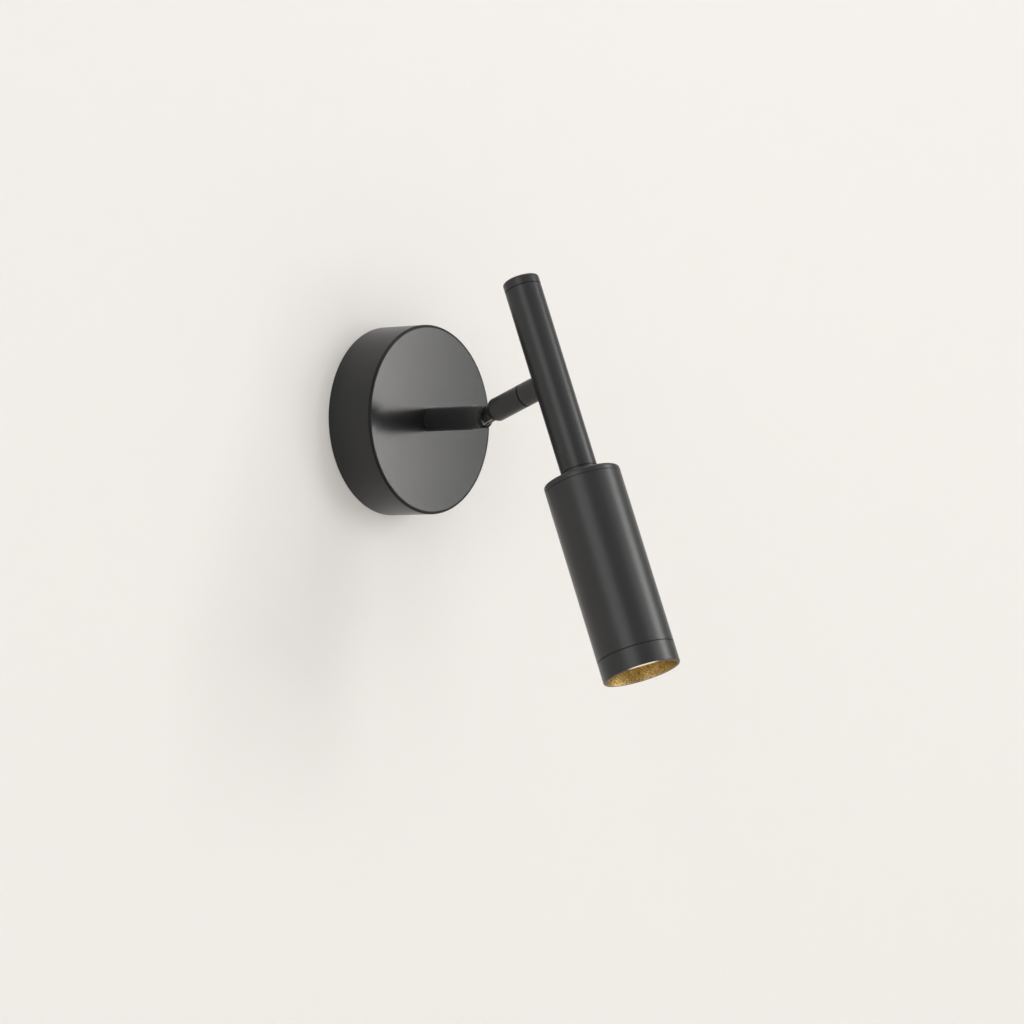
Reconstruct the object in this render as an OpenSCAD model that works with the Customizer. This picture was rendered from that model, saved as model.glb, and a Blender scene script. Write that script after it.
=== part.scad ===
// Pivoting spotlight wall light, with everything that it holds inside.
// The origin is the centre of the canopy's wall face, +Z is up and the lamp stands out along -Y.

/* [Canopy] */
// Outer diameter of the round canopy
canopy_d = 100; // [96:1:130]
// How far the canopy stands off the wall
canopy_depth = 28; // [25:0.5:40]
// Thickness of the canopy's rim and front
canopy_wall = 2.5; // [2:0.1:3.5]
// Radius on the canopy's front edge
canopy_edge_r = 1; // [0.4:0.1:2]

/* [Wall bracket] */
// Width of the bracket's strap and tabs
bracket_w = 22; // [18:1:26]
// Thickness of the bracket's steel
bracket_t = 2; // [1.5:0.1:2.5]
// Distance between the centres of the two screw slots
slot_spacing = 64; // [56:1:66]
// Width of each screw slot
slot_w = 5; // [4:0.1:6]
// Length of each screw slot, end to end
slot_l = 12; // [8:0.5:13]
// Diameter of the cable hole in the middle of the bracket
cable_hole_d = 16; // [10:0.5:20]

/* [Arm] */
// Diameter of both stems
stem_d = 12.5; // [12.4:0.1:14]
// Distance from the wall to the knuckle's pivot
pivot_reach = 63.1; // [60:0.1:120]
// Distance from the knuckle's pivot to the tube's axis
arm_length = 48; // [46:0.2:90]
// Angle of the second stem above level
tilt = 20.9; // [-28:0.1:58]

/* [Knuckle] */
// Thickness of the tongue
tongue_t = 4.2; // [3.4:0.1:4.4]
// Radius of the tongue's round end
tongue_r = 4.6; // [4.2:0.1:4.9]
// Diameter of the pivot screw
pivot_screw_d = 3; // [2.5:0.1:3.4]
// How far the fork's ears reach past the pivot
fork_nose = 2.7; // [1.9:0.1:2.8]
// Length of the chamfer on the fork's end
fork_chamfer_l = 1.9; // [1.6:0.1:3.5]
// Distance from the pivot to the tongue's shoulder
shoulder_start = 6.1; // [6:0.1:6.8]
// Length of the chamfer on the second stem's knuckle end
stem_chamfer_l = 3.5; // [2:0.1:4]

/* [Head swivel] */
// Distance from the pivot to the seam where the head turns
seam_at = 29; // [25:0.2:31]
// Diameter of the hollow spindle
spindle_d = 7; // [6.4:0.1:7.4]
// Bore of the spindle, for the leads
spindle_bore = 4.4; // [4:0.1:4.8]

/* [Tube] */
// Outer diameter of the tube
tube_d = 19.2; // [18.4:0.1:24]
// Wall of the tube
tube_wall = 1.5; // [1.2:0.1:1.8]
// From the arm up to the top of the tube's cap
tube_above = 56.7; // [30:0.1:90]
// From the arm down to the top face of the head
tube_below = 53.5; // [30:0.1:90]
// Visible height of the tube's cap
tube_cap_h = 5.2; // [2.4:0.1:6]

/* [Head] */
// Outer diameter of the head
head_d = 40.2; // [40:0.1:50]
// Length of the head from its top face to its mouth
head_length = 106.5; // [104:0.1:140]
// Wall of the housing
head_wall = 2; // [1.8:0.1:2.4]
// Visible height of the head's cap
head_cap_h = 3.1; // [2.2:0.1:5]
// Radius on the edge of the head's cap
head_cap_edge_r = 1.2; // [0.6:0.1:2]
// Height of the neck that stands on the head's cap, round the tube's turned-down end
neck_h = 4; // [2:0.1:8]
// Visible height of the bezel at the mouth
bezel_h = 11.2; // [8:0.1:14]
// Wall of the bezel
bezel_wall = 0.9; // [0.7:0.05:1.1]
// Thickness of the baffle's skirt at the mouth
baffle_lip = 0.7; // [0.5:0.05:1]

/* [Light source] */
// How deep the lens sits above the mouth
lens_depth = 31.6; // [28:0.1:36]
// Thickness of the lens
lens_t = 2; // [1.5:0.1:2.5]
// Height of the reflector
reflector_h = 20.9; // [16:0.1:24]
// Number of places for fins round the heat sink, one of them left free for the leads
fin_places = 16; // [10:1:20]
// Thickness of each fin
fin_t = 1.2; // [0.8:0.1:1.6]

/* [Driver and terminals] */
// Thickness of the driver's case
driver_t = 15; // [12:0.5:15]
// Distance between the poles of the terminal block
pole_pitch = 8; // [7:0.1:9]
// Thickness of each insulated lead
lead_d = 1.5; // [1.2:0.1:1.6]

/* [Hidden] */
$fn = 96;

// Clearances shared by every fit
// Between a shaft or a thread and its hole, on the radius
fit_gap = 0.05;
// Between faces that are clamped or pressed together
seat_gap = 0.04;
// Between faces that turn past each other
turn_gap = 0.2;
// How far every cut runs past the material
overrun = 1;

// Canopy
canopy_r = canopy_d / 2;
canopy_inner_r = canopy_r - canopy_wall;
canopy_floor = canopy_depth - canopy_wall;
canopy_boss_r = 12.5;
canopy_boss_h = 1.5;
set_screw_r = 2;
set_screw_l = 8;
set_screw_sunk = 0.4;
set_screw_from_wall = 12.5;
socket_share = 0.55;

// Wall bracket
tab_gap = 0.4;
tab_at = sqrt(pow(canopy_inner_r, 2) - pow(bracket_w / 2, 2)) - tab_gap;
tab_beyond_screw = 5;
tab_l = set_screw_from_wall + tab_beyond_screw;
bend_r = 1.5;
tab_hole_r = set_screw_r + tab_gap;
bracket_eye_r = cable_hole_d / 2 + bracket_w / 3;

// Arm thread through the canopy
nipple_r = 5;
nipple_bore_r = 3.4;
nut_flats = 14;
nut_h = 3;
star_r = 8.8;
star_t = 0.9;
star_teeth = 12;
nipple_proud = 2.5;
nipple_socket_l = 13;
nipple_start = canopy_floor - canopy_boss_h - star_t - nut_h - nipple_proud;
nipple_end = canopy_depth + nipple_socket_l - seat_gap;

// Stems and knuckle
stem_r = stem_d / 2;
stem_bore_r = 2.6;
fork_end_r = stem_r - fork_chamfer_l / 2;
washer_t = 0.55;
washer_r = 2.8;
slot_half = tongue_t / 2 + washer_t + fit_gap;
slot_floor = tongue_r + 2 * turn_gap;
pivot_r = pivot_screw_d / 2;
pivot_head_step = 1;
pivot_head_r = pivot_r + pivot_head_step;
pivot_head_h = 1.5;
pivot_head_floor = slot_half + pivot_r * 5 / 6;
ear_skin = 1.4;
pivot_tip = stem_r - ear_skin;
tongue_neck = tongue_r - 2 * turn_gap;
shoulder_r = stem_r - stem_chamfer_l / 2;
wire_slot_gap = 0.2;
wire_slot_half = lead_d / 2 + wire_slot_gap;
arm_bore_r = 2.2;

// Head swivel, measured along the second stem from the pivot
cup_r = 5;
cup_depth = 11;
cup_floor = seam_at - cup_depth;
bush_l = 6.9;
bush_sunk = 0.1;
bush_start = seam_at - bush_sunk - bush_l;
spring_t = 0.6;
flange_t = 1.3;
flange_r = 4.6;
flange_top = bush_start - spring_t - 2 * seat_gap;
flange_floor = flange_top - flange_t;
stop_pin_r = 0.6;
stop_pin_h = 1.5;
stop_pin_sunk = 2;
stop_ring_r = 3.6;
stop_tab_w = 0.5;
spindle_r = spindle_d / 2;
spindle_end = 3.2;
notch_w = 1.2;
notch_d = 0.9;
seam_chamfer = 0.25;

// Tube
tube_r = tube_d / 2;
tube_inner_r = tube_r - tube_wall;
tube_cap_seat = tube_above - tube_cap_h;
tube_cap_edge_r = 1.1;
tube_cap_plug = 7;
seam_groove_w = 0.4;
seam_groove_d = 0.35;
insert_l = 18;
tube_in_head = 12.4;
tube_bottom = -tube_below - tube_in_head;

// Head, measured along the tube's axis from the arm, upwards
head_r = head_d / 2;
head_top = -tube_below;
head_mouth = head_top - head_length;
cap_seam = head_top - head_cap_h;
bezel_top = head_mouth + bezel_h;
neck_top = head_top + neck_h;
neck_wall = 0.75;
spigot_r = tube_r - neck_wall;
bore_r = head_r - head_wall;
cap_plug_l = 5;
cap_plug_wall = 2;
collar_wall = 3;
collar_r = tube_r + collar_wall;
collar_lip_t = 1.4;
collar_end = tube_bottom - seat_gap - collar_lip_t;
collar_lip_r = tube_inner_r + seat_gap;
collar_screw_r = 1.5;
collar_screw_l = 2.9;
collar_screw_at = tube_bottom + collar_screw_r * 1.4;

// Light source, from the mouth upwards
lens_bottom = head_mouth + lens_depth;
lens_top = lens_bottom + lens_t;
gasket_t = 1.2;
gasket_w = 1.5;
reflector_bottom = lens_top + seat_gap;
reflector_top = reflector_bottom + reflector_h;
board_t = 1.6;
board_r = 15.2;
board_bottom = reflector_top + seat_gap;
board_top = board_bottom + board_t;
sink_flange_t = 4;
sink_bottom = board_top + seat_gap;
sink_ledge = sink_bottom + sink_flange_t;
fin_clear = 2.2;
fin_top = collar_end - fin_clear;
fin_h = fin_top - sink_ledge;
ledge_w = 0.85;
fin_gap = 0.3;
sink_core_r = 5;
wire_hole_at = 11;
wire_hole_r = 2.1;
board_screw_at = 12.4;
board_screw_r = 1.25;
board_screw_head_r = 2.2;
board_screw_head_h = 1.6;
board_screw_l = 5;
emitter_r = 6;
emitter_t = 1;
reflector_wall = 0.8;
reflector_throat_r = 6.8;
reflector_rim_r = 16.2;
reflector_rim_t = 1.2;
reflector_steps = 10;
reflector_curve_share = 0.62;
baffle_top = lens_bottom - gasket_t - 2 * seat_gap;
baffle_throat_wall = 1.7;
baffle_neck_wall = 0.85;
baffle_throat_r = bore_r - seat_gap - baffle_throat_wall;
baffle_neck_r = bore_r - seat_gap - baffle_neck_wall;
baffle_mouth_r = head_r - bezel_wall - baffle_lip;
baffle_rim_t = 0.45;
baffle_rim_sunk = 0.15;
baffle_rim_r = head_r - baffle_rim_sunk;
baffle_rim_bevel = 0.3;
bezel_edge_r = 0.25;

// Driver, terminal block and earth point, as seen from the room
post_r = 3;
driver_post_h = 2;
driver_from_bracket = 2.5;
driver_x = bracket_w / 2 + driver_from_bracket;
driver_from_rim = 10;
driver_corner_gap = 3.5;
driver_w = canopy_inner_r - driver_from_rim - driver_x;
driver_mid_x = driver_x + driver_w / 2;
driver_l = 2 * sqrt(pow(canopy_inner_r - driver_corner_gap, 2) - pow(driver_x + driver_w, 2));
driver_near_wall = canopy_floor - driver_post_h - seat_gap - driver_t;
driver_corner_r = 1.5;
driver_lid_t = 1.6;
driver_lid_step = 0.5;
ear_l = 8;
ear_w = 8;
ear_t = 2;
driver_screw_at = driver_l / 2 + ear_l / 2;
small_screw_r = 1.5;
small_screw_l = 6;
small_head_r = 2.7;
small_head_h = 1.9;
block_w = 17;
poles = 3;
block_l = poles * pole_pitch;
block_t = 11;
block_base_t = 3;
block_ear_l = 8;
block_from_rim = 12;
block_x = -canopy_inner_r + block_from_rim + block_w / 2;
block_side = block_x + block_w / 2;
block_post_h = 3;
block_near_wall = canopy_floor - block_post_h - seat_gap - block_t;
tower_w = 10;
tower_share = 0.82;
barrel_r = 2.3;
barrel_bore_r = 1.4;
barrel_l = 13;
barrel_from_wall = block_near_wall + block_t / 2;
clamp_screw_r = 1.1;
clamp_screw_spread = 3.6;
earth_drop = 24;
earth_post_h = 8;
earth_post_r = 3.8;
earth_screw_r = 2;
earth_screw_l = 7;
earth_head_r = 3.8;
earth_head_h = 2.4;
earth_washer_r = 4.4;
earth_washer_t = 0.9;
earth_face = canopy_floor - earth_post_h;

// Leads
lead_r = lead_d / 2;
lead_sides = 8;
lead_half = lead_r + fit_gap;
bend_l = 3;
bend_steps = 4;
lead_lane = 9.5;
lead_turn = 5;
mains_bends = [
    [
        [block_side * 0.65, 0],
        [-nut_flats / 2, driver_l * 0.37],
        [driver_x - lead_r * 2, driver_l / 2 + lead_turn / 2],
        [driver_mid_x - lead_turn / 2, driver_l / 2 + lead_turn]
    ],
    [
        [block_side * 0.8, pole_pitch],
        [-nut_flats * 0.8, driver_l * 0.48],
        [driver_x - lead_r * 3, driver_l / 2 + lead_turn * 1.3],
        [driver_mid_x + lead_turn / 2, driver_l / 2 + lead_turn * 2]
    ]
];
output_bends = [
    [
        [driver_mid_x - lead_turn / 2, -driver_l / 2 - lead_turn * 0.8],
        [driver_x - lead_r * 2, -driver_l / 2 - lead_turn * 0.3],
        [nipple_r * 1.2, -driver_l * 0.33]
    ],
    [
        [driver_mid_x + lead_turn / 2, -driver_l / 2 - lead_turn * 1.6],
        [driver_x - lead_turn * 0.7, -driver_l / 2 - lead_turn * 1.1],
        [nipple_r * 0.4, -driver_l * 0.39]
    ]
];
earth_bends = [
    [block_side * 0.73, -pole_pitch],
    [-earth_washer_r - lead_turn, -earth_drop]
];

// Frame that stands on the wall, with its z axis out of the wall and its y axis up
module from_wall(out = 0) {
    translate([0, -out, 0]) rotate([90, 0, 0]) children();
}

// Frame at the pivot, with its z axis along the second stem
module from_pivot(along = 0) {
    translate([0, -pivot_reach, 0])
        rotate([90 - tilt, 0, 0])
            translate([0, 0, along]) children();
}

// Frame where the stem meets the tube, with its z axis up the tube and its y axis towards the stem
module on_tube(up = 0) {
    from_pivot(arm_length) rotate([-90, 0, 0]) translate([0, 0, up]) children();
}

// Half profile of a disc that stands on the x axis, with a round on its outer top edge
module edged_profile(r, h, edge) {
    square([r - edge, h]);
    square([r, h - edge]);
    intersection() {
        translate([r - edge, h - edge]) circle(r = edge);
        square([r, h]);
    }
}

// Round bar with a hole down its axis
module pipe(outer, inner, h) {
    difference() {
        cylinder(r = outer, h = h);
        translate([0, 0, -overrun]) cylinder(r = inner, h = h + 2 * overrun);
    }
}

// Plate with round corners, centred on x and y
module round_plate(w, l, corner, h) {
    linear_extrude(height = h) {
        square([w - 2 * corner, l], center = true);
        square([w, l - 2 * corner], center = true);
        for (sx = [-1, 1], sy = [-1, 1])
            translate([sx * (w / 2 - corner), sy * (l / 2 - corner)]) circle(r = corner);
    }
}

// Outline of a slot along y
module slot_outline(w, l) {
    square([w, l - w], center = true);
    for (side = [-1, 1]) translate([0, side * (l - w) / 2]) circle(r = w / 2);
}

// Set screw from z = 0 inwards along -z, with a hexagon socket in its outer end
module set_screw(r, l) {
    difference() {
        union() {
            translate([0, 0, -l + r / 2]) cylinder(r = r, h = l - r / 2);
            translate([0, 0, -l]) cylinder(r1 = r / 2, r2 = r, h = r / 2);
        }
        translate([0, 0, -l / 3]) cylinder(r = r * socket_share, h = l / 3 + overrun, $fn = 6);
    }
}

// Pan head screw whose head sits on z = 0 and whose shank runs down
module pan_screw(r, l, head_r, head_h) {
    difference() {
        union() {
            translate([0, 0, -l]) cylinder(r = r, h = l + head_h / 2);
            rotate_extrude() edged_profile(head_r, head_h, head_h / 2);
        }
        for (turn = [0, 90]) rotate([0, 0, turn])
            translate([0, 0, head_h / 2 + overrun / 2])
                cube([head_r, head_h / 3, overrun], center = true);
    }
}

// Direction of a vector
function unit(v) = v / norm(v);

// Route with each of its corners rounded off
function rounded(route) = [
    route[0],
    for (i = [1 : 1 : len(route) - 2])
        let (back = unit(route[i - 1] - route[i]), on = unit(route[i + 1] - route[i]))
            for (k = [0 : bend_steps])
                let (s = k / bend_steps)
                    route[i] + bend_l * (back * pow(1 - s, 2) + on * pow(s, 2)),
    route[len(route) - 1]
];

// Direction of a path at one of its points
function heading(path, i) = unit(path[min(i + 1, len(path) - 1)] - path[max(i - 1, 0)]);

// A direction across the path at each of its points, carried along without twist
function across(path, i, n) =
    i == len(path) ? [] : let (t = heading(path, i), m = unit(n - (n * t) * t))
        concat([m], across(path, i + 1, m));

// Insulated lead along a route
module lead(route) {
    path = rounded(route);
    last = len(path) - 1;
    first = heading(path, 0);
    sideways = across(path, 0, cross(first, [first[1], first[2], first[0]]));
    rings = [
        for (i = [0 : last]) let (n = sideways[i], b = cross(heading(path, i), n))
            for (k = [0 : lead_sides - 1])
                let (turn = k * 360 / lead_sides)
                    path[i] + lead_r * (n * cos(turn) + b * sin(turn))
    ];
    skin = [
        for (i = [0 : last - 1], k = [0 : lead_sides - 1])
            let (here = i * lead_sides, next = (k + 1) % lead_sides)
                for (part = [0, 1]) part == 0
                    ? [here + k, here + lead_sides + k, here + lead_sides + next]
                    : [here + k, here + lead_sides + next, here + next]
    ];
    start = [for (k = [0 : lead_sides - 1]) k];
    end = [for (k = [lead_sides - 1 : -1 : 0]) last * lead_sides + k];
    polyhedron(points = rings, faces = concat([start], skin, [end]));
}

module wall_bracket() {
    color("silver") from_wall() difference() {
        union() {
            // Strap with a round eye, and a tab bent up at each end
            translate([-bracket_w / 2, -tab_at + bend_r, 0])
                cube([bracket_w, 2 * (tab_at - bend_r), bracket_t]);
            cylinder(r = bracket_eye_r, h = bracket_t);
            for (turn = [0, 180]) rotate([0, 0, turn]) bracket_tab();
        }
        translate([0, 0, -overrun]) cylinder(r = cable_hole_d / 2, h = bracket_t + 2 * overrun);
        for (side = [-1, 1])
            translate([0, side * slot_spacing / 2, -overrun])
                linear_extrude(height = bracket_t + 2 * overrun) slot_outline(slot_w, slot_l);
        translate([0, -tab_at - overrun, set_screw_from_wall])
            rotate([-90, 0, 0]) cylinder(r = tab_hole_r, h = 2 * (tab_at + overrun));
    }
}

// Tab at the strap's upper end, joined by a round bend
module bracket_tab() {
    translate([-bracket_w / 2, tab_at - bend_r, bend_r])
        rotate([0, 90, 0]) difference() {
            cylinder(r = bend_r, h = bracket_w);
            translate([-bend_r - overrun, -bend_r - overrun, -overrun])
                cube([bend_r + overrun, bend_r + overrun, bracket_w + 2 * overrun]);
        }
    intersection() {
        translate([-bracket_w / 2, tab_at - bracket_t, bend_r])
            cube([bracket_w, bracket_t, tab_l - bend_r]);
        translate([0, tab_at + overrun, tab_l - bracket_w / 2])
            rotate([90, 0, 0]) union() {
                cylinder(r = bracket_w / 2, h = bracket_t + 2 * overrun);
                translate([-bracket_w / 2, -tab_l, 0])
                    cube([bracket_w, tab_l, bracket_t + 2 * overrun]);
            }
    }
}

// Post that stands on the canopy's inner face, at a place seen from the room
module canopy_post(place, h, r) {
    translate([place[0], place[1], canopy_floor - h]) cylinder(r = r, h = h + canopy_wall / 2);
}

// Blind tapped hole for a screw of radius r, down a post from its free end
module post_hole(place, h, r, depth) {
    translate([place[0], place[1], canopy_floor - h - overrun])
        cylinder(r = r + fit_gap, h = depth + overrun);
}

driver_screw_places = [[driver_mid_x, driver_screw_at], [driver_mid_x, -driver_screw_at]];
block_screw_place = [block_x, (block_l + block_ear_l) / 2];
earth_place = [0, -earth_drop];

module canopy() {
    color("dimgray") from_wall() difference() {
        union() {
            rotate_extrude() difference() {
                edged_profile(canopy_r, canopy_depth, canopy_edge_r);
                translate([0, -overrun])
                    edged_profile(canopy_inner_r, canopy_floor + overrun, canopy_edge_r);
            }
            translate([0, 0, canopy_floor - canopy_boss_h])
                cylinder(r = canopy_boss_r, h = canopy_boss_h + canopy_wall / 2);
            for (place = driver_screw_places) canopy_post(place, driver_post_h, post_r);
            canopy_post(block_screw_place, block_post_h, post_r);
            canopy_post(earth_place, earth_post_h, earth_post_r);
        }
        translate([0, 0, canopy_floor - canopy_boss_h - overrun])
            cylinder(r = nipple_r + fit_gap, h = canopy_boss_h + canopy_wall + 2 * overrun);
        translate([0, -canopy_r - overrun, set_screw_from_wall])
            rotate([-90, 0, 0]) cylinder(r = set_screw_r + fit_gap, h = 2 * (canopy_r + overrun));
        for (place = driver_screw_places)
            post_hole(place, driver_post_h, small_screw_r, driver_post_h + canopy_wall / 2);
        post_hole(block_screw_place, block_post_h, small_screw_r, block_post_h + canopy_wall / 2);
        post_hole(earth_place, earth_post_h, earth_screw_r, earth_post_h);
    }
}

module canopy_set_screws() {
    color("gray") from_wall() for (turn = [0, 180]) rotate([0, 0, turn])
        translate([0, canopy_r - set_screw_sunk, set_screw_from_wall])
            rotate([-90, 0, 0]) set_screw(set_screw_r, set_screw_l);
}

// Towers of the terminal block, one for each pole
module terminal_block() {
    color("whitesmoke") from_wall(block_near_wall) translate([block_x, 0, 0]) difference() {
        union() {
            translate([0, block_ear_l / 2, block_t - block_base_t])
                round_plate(block_w, block_l + block_ear_l, driver_corner_r, block_base_t);
            for (pole = [-1 : 1]) translate([0, pole * pole_pitch, 0])
                translate([-tower_w / 2, -pole_pitch * tower_share / 2, 0])
                    cube([tower_w, pole_pitch * tower_share, block_t - block_base_t / 2]);
            for (pole = [-1 : 1])
                translate([-block_w / 2, pole * pole_pitch, block_t / 2])
                    rotate([0, 90, 0]) cylinder(r = pole_pitch * tower_share / 2, h = block_w);
        }
        for (pole = [-1 : 1]) {
            translate([-block_w / 2 - overrun, pole * pole_pitch, block_t / 2])
                rotate([0, 90, 0]) cylinder(r = barrel_r + seat_gap, h = block_w + 2 * overrun);
            for (side = [-1, 1])
                translate([side * clamp_screw_spread, pole * pole_pitch, -overrun])
                    cylinder(r = clamp_screw_r + 4 * fit_gap, h = block_t / 2 + overrun);
        }
        translate([0, (block_l + block_ear_l) / 2, -overrun])
            cylinder(r = small_screw_r + 2 * fit_gap, h = block_t + 2 * overrun);
    }
}

module terminal_inserts() {
    color("gold") from_wall(barrel_from_wall) translate([block_x, 0, 0])
        for (pole = [-1 : 1]) translate([0, pole * pole_pitch, 0]) difference() {
            translate([-barrel_l / 2, 0, 0]) rotate([0, 90, 0]) pipe(barrel_r, barrel_bore_r, barrel_l);
            for (side = [-1, 1])
                translate([side * clamp_screw_spread, 0, -barrel_r - overrun])
                    cylinder(r = clamp_screw_r + fit_gap, h = barrel_r + overrun);
        }
}

module terminal_screws() {
    color("silver") from_wall(barrel_from_wall) translate([block_x, 0, 0])
        for (pole = [-1 : 1], side = [-1, 1])
            translate([side * clamp_screw_spread, pole * pole_pitch, -barrel_r - clamp_screw_r])
                difference() {
                    cylinder(r = clamp_screw_r, h = barrel_r);
                    translate([0, 0, clamp_screw_r / 4 - overrun / 2])
                        cube([2 * clamp_screw_r + overrun, clamp_screw_r / 2, overrun], center = true);
                }
}

module terminal_fixing_screw() {
    color("silver") from_wall(block_near_wall + block_t - block_base_t - seat_gap)
        translate([block_screw_place[0], block_screw_place[1], 0])
            mirror([0, 0, 1]) pan_screw(small_screw_r, small_screw_l, small_head_r, small_head_h);
}

module driver_case() {
    lid_w = driver_w - 2 * driver_lid_step;
    lid_l = driver_l - 2 * driver_lid_step;
    color("white") from_wall(driver_near_wall) translate([driver_mid_x, 0, 0]) difference() {
        union() {
            round_plate(lid_w, lid_l, driver_corner_r, driver_t);
            translate([0, 0, driver_lid_t])
                round_plate(driver_w, driver_l, driver_corner_r, driver_t - driver_lid_t);
            translate([0, 0, driver_t - ear_t])
                round_plate(ear_w, driver_l + 2 * ear_l, ear_w / 4, ear_t);
        }
        for (side = [-1, 1]) translate([0, side * driver_screw_at, driver_t - ear_t - overrun])
            cylinder(r = small_screw_r + 2 * fit_gap, h = ear_t + 2 * overrun);
    }
}

module driver_screws() {
    shank = ear_t + driver_post_h + canopy_wall / 3;
    color("silver") from_wall(driver_near_wall + driver_t - ear_t - seat_gap)
        for (place = driver_screw_places) translate([place[0], place[1], 0])
            mirror([0, 0, 1]) pan_screw(small_screw_r, shank, small_head_r, small_head_h);
}

module earth_screw() {
    color("goldenrod") from_wall(earth_face - earth_washer_t - 2 * seat_gap)
        translate([0, -earth_drop, 0])
            mirror([0, 0, 1]) pan_screw(earth_screw_r, earth_screw_l, earth_head_r, earth_head_h);
}

module earth_washer() {
    color("goldenrod") from_wall(earth_face - earth_washer_t - seat_gap)
        translate([0, -earth_drop, 0]) pipe(earth_washer_r, earth_screw_r + 2 * fit_gap, earth_washer_t);
}

// Point of a lead inside the canopy, at a place seen from the room and a distance from the wall
function inside(place, from_wall) = [place[0], place[1], from_wall];

// Live and neutral from the terminal block to the driver's upper end
module mains_leads() {
    color("brown") from_wall() for (k = [0, 1]) {
        bends = mains_bends[k];
        last = len(bends) - 1;
        lead([
            inside([block_x + lead_turn / 2, bends[0][1]], barrel_from_wall),
            inside(bends[0], barrel_from_wall),
            for (i = [1 : last]) inside(bends[i], lead_lane),
            inside([bends[last][0], driver_l / 2 + seat_gap], lead_lane)
        ]);
    }
}

// Earth from the terminal block to the edge of the earth washer
module earth_lead() {
    color("yellowgreen") from_wall() lead([
        inside([block_x + lead_turn / 2, -pole_pitch], barrel_from_wall),
        inside(earth_bends[0], barrel_from_wall),
        inside(earth_bends[1], earth_face - earth_washer_t / 2),
        inside([-earth_washer_r - 2 * seat_gap, -earth_drop], earth_face - earth_washer_t / 2)
    ]);
}

// Output leads from the driver's lower end, through the nipple and the first stem to the knuckle
module base_leads() {
    color("darkred") from_wall() for (k = [0, 1]) {
        bends = output_bends[k];
        lead([
            inside([bends[0][0], -driver_l / 2 - seat_gap], lead_lane),
            for (bend = bends) inside(bend, lead_lane),
            [(1 - 2 * k) * lead_half, 0, lead_lane],
            [(1 - 2 * k) * lead_half, 0, pivot_reach - slot_floor - seat_gap]
        ]);
    }
}

module arm_nipple() {
    color("silver") from_wall(nipple_start) pipe(nipple_r, nipple_bore_r, nipple_end - nipple_start);
}

module arm_star_washer() {
    color("silver") from_wall(canopy_floor - canopy_boss_h - star_t - seat_gap)
        linear_extrude(height = star_t) difference() {
            circle(r = star_r);
            circle(r = nipple_r + 2 * fit_gap);
            for (tooth = [1 : star_teeth]) rotate(tooth * 360 / star_teeth)
                translate([star_r, 0]) rotate(45) square(star_r / 5, center = true);
        }
}

module arm_lock_nut() {
    color("silver") from_wall(canopy_floor - canopy_boss_h - star_t - nut_h - 2 * seat_gap)
        difference() {
            cylinder(r = nut_flats / 2 / cos(30), h = nut_h, $fn = 6);
            translate([0, 0, -overrun]) cylinder(r = nipple_r + fit_gap, h = nut_h + 2 * overrun);
        }
}

// First stem: threaded socket at the canopy, fork with two ears at the knuckle
module base_stem() {
    body_end = pivot_reach + fork_nose;
    color("dimgray") from_wall() difference() {
        union() {
            translate([0, 0, canopy_depth + seat_gap])
                cylinder(r = stem_r, h = body_end - fork_chamfer_l - canopy_depth - seat_gap);
            translate([0, 0, body_end - fork_chamfer_l])
                cylinder(r1 = stem_r, r2 = fork_end_r, h = fork_chamfer_l);
        }
        translate([0, 0, canopy_depth - overrun])
            cylinder(r = nipple_r + fit_gap, h = nipple_socket_l + overrun);
        translate([0, 0, canopy_depth])
            cylinder(r = stem_bore_r, h = pivot_reach - canopy_depth);
        translate([-slot_half, -stem_r - overrun, pivot_reach - slot_floor])
            cube([2 * slot_half, stem_d + 2 * overrun, slot_floor + fork_nose + overrun]);
        translate([-pivot_tip - fit_gap, 0, pivot_reach])
            rotate([0, 90, 0]) cylinder(r = pivot_r + fit_gap, h = pivot_tip + stem_r + overrun);
        translate([pivot_head_floor, 0, pivot_reach])
            rotate([0, 90, 0]) cylinder(r = pivot_head_r + fit_gap, h = stem_r);
    }
}

// Pivot screw, put in from the right, threaded into the blind left ear
module pivot_screw() {
    color("gray") from_wall(pivot_reach) rotate([0, 90, 0]) difference() {
        union() {
            translate([0, 0, -pivot_tip])
                cylinder(r = pivot_r, h = pivot_tip + pivot_head_floor + pivot_head_h / 2);
            translate([0, 0, pivot_head_floor + seat_gap]) cylinder(r = pivot_head_r, h = pivot_head_h);
        }
        translate([0, 0, pivot_head_floor + pivot_head_h / 3])
            cylinder(r = pivot_r * 2 / 3, h = pivot_head_h, $fn = 6);
    }
}

module friction_washers() {
    color("white") from_wall(pivot_reach) for (side = [-1, 1])
        translate([side * (tongue_t / 2 + fit_gap / 2 + washer_t / 2) - washer_t / 2, 0, 0])
            rotate([0, 90, 0]) pipe(washer_r, pivot_r + 2 * fit_gap, washer_t);
}

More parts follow.
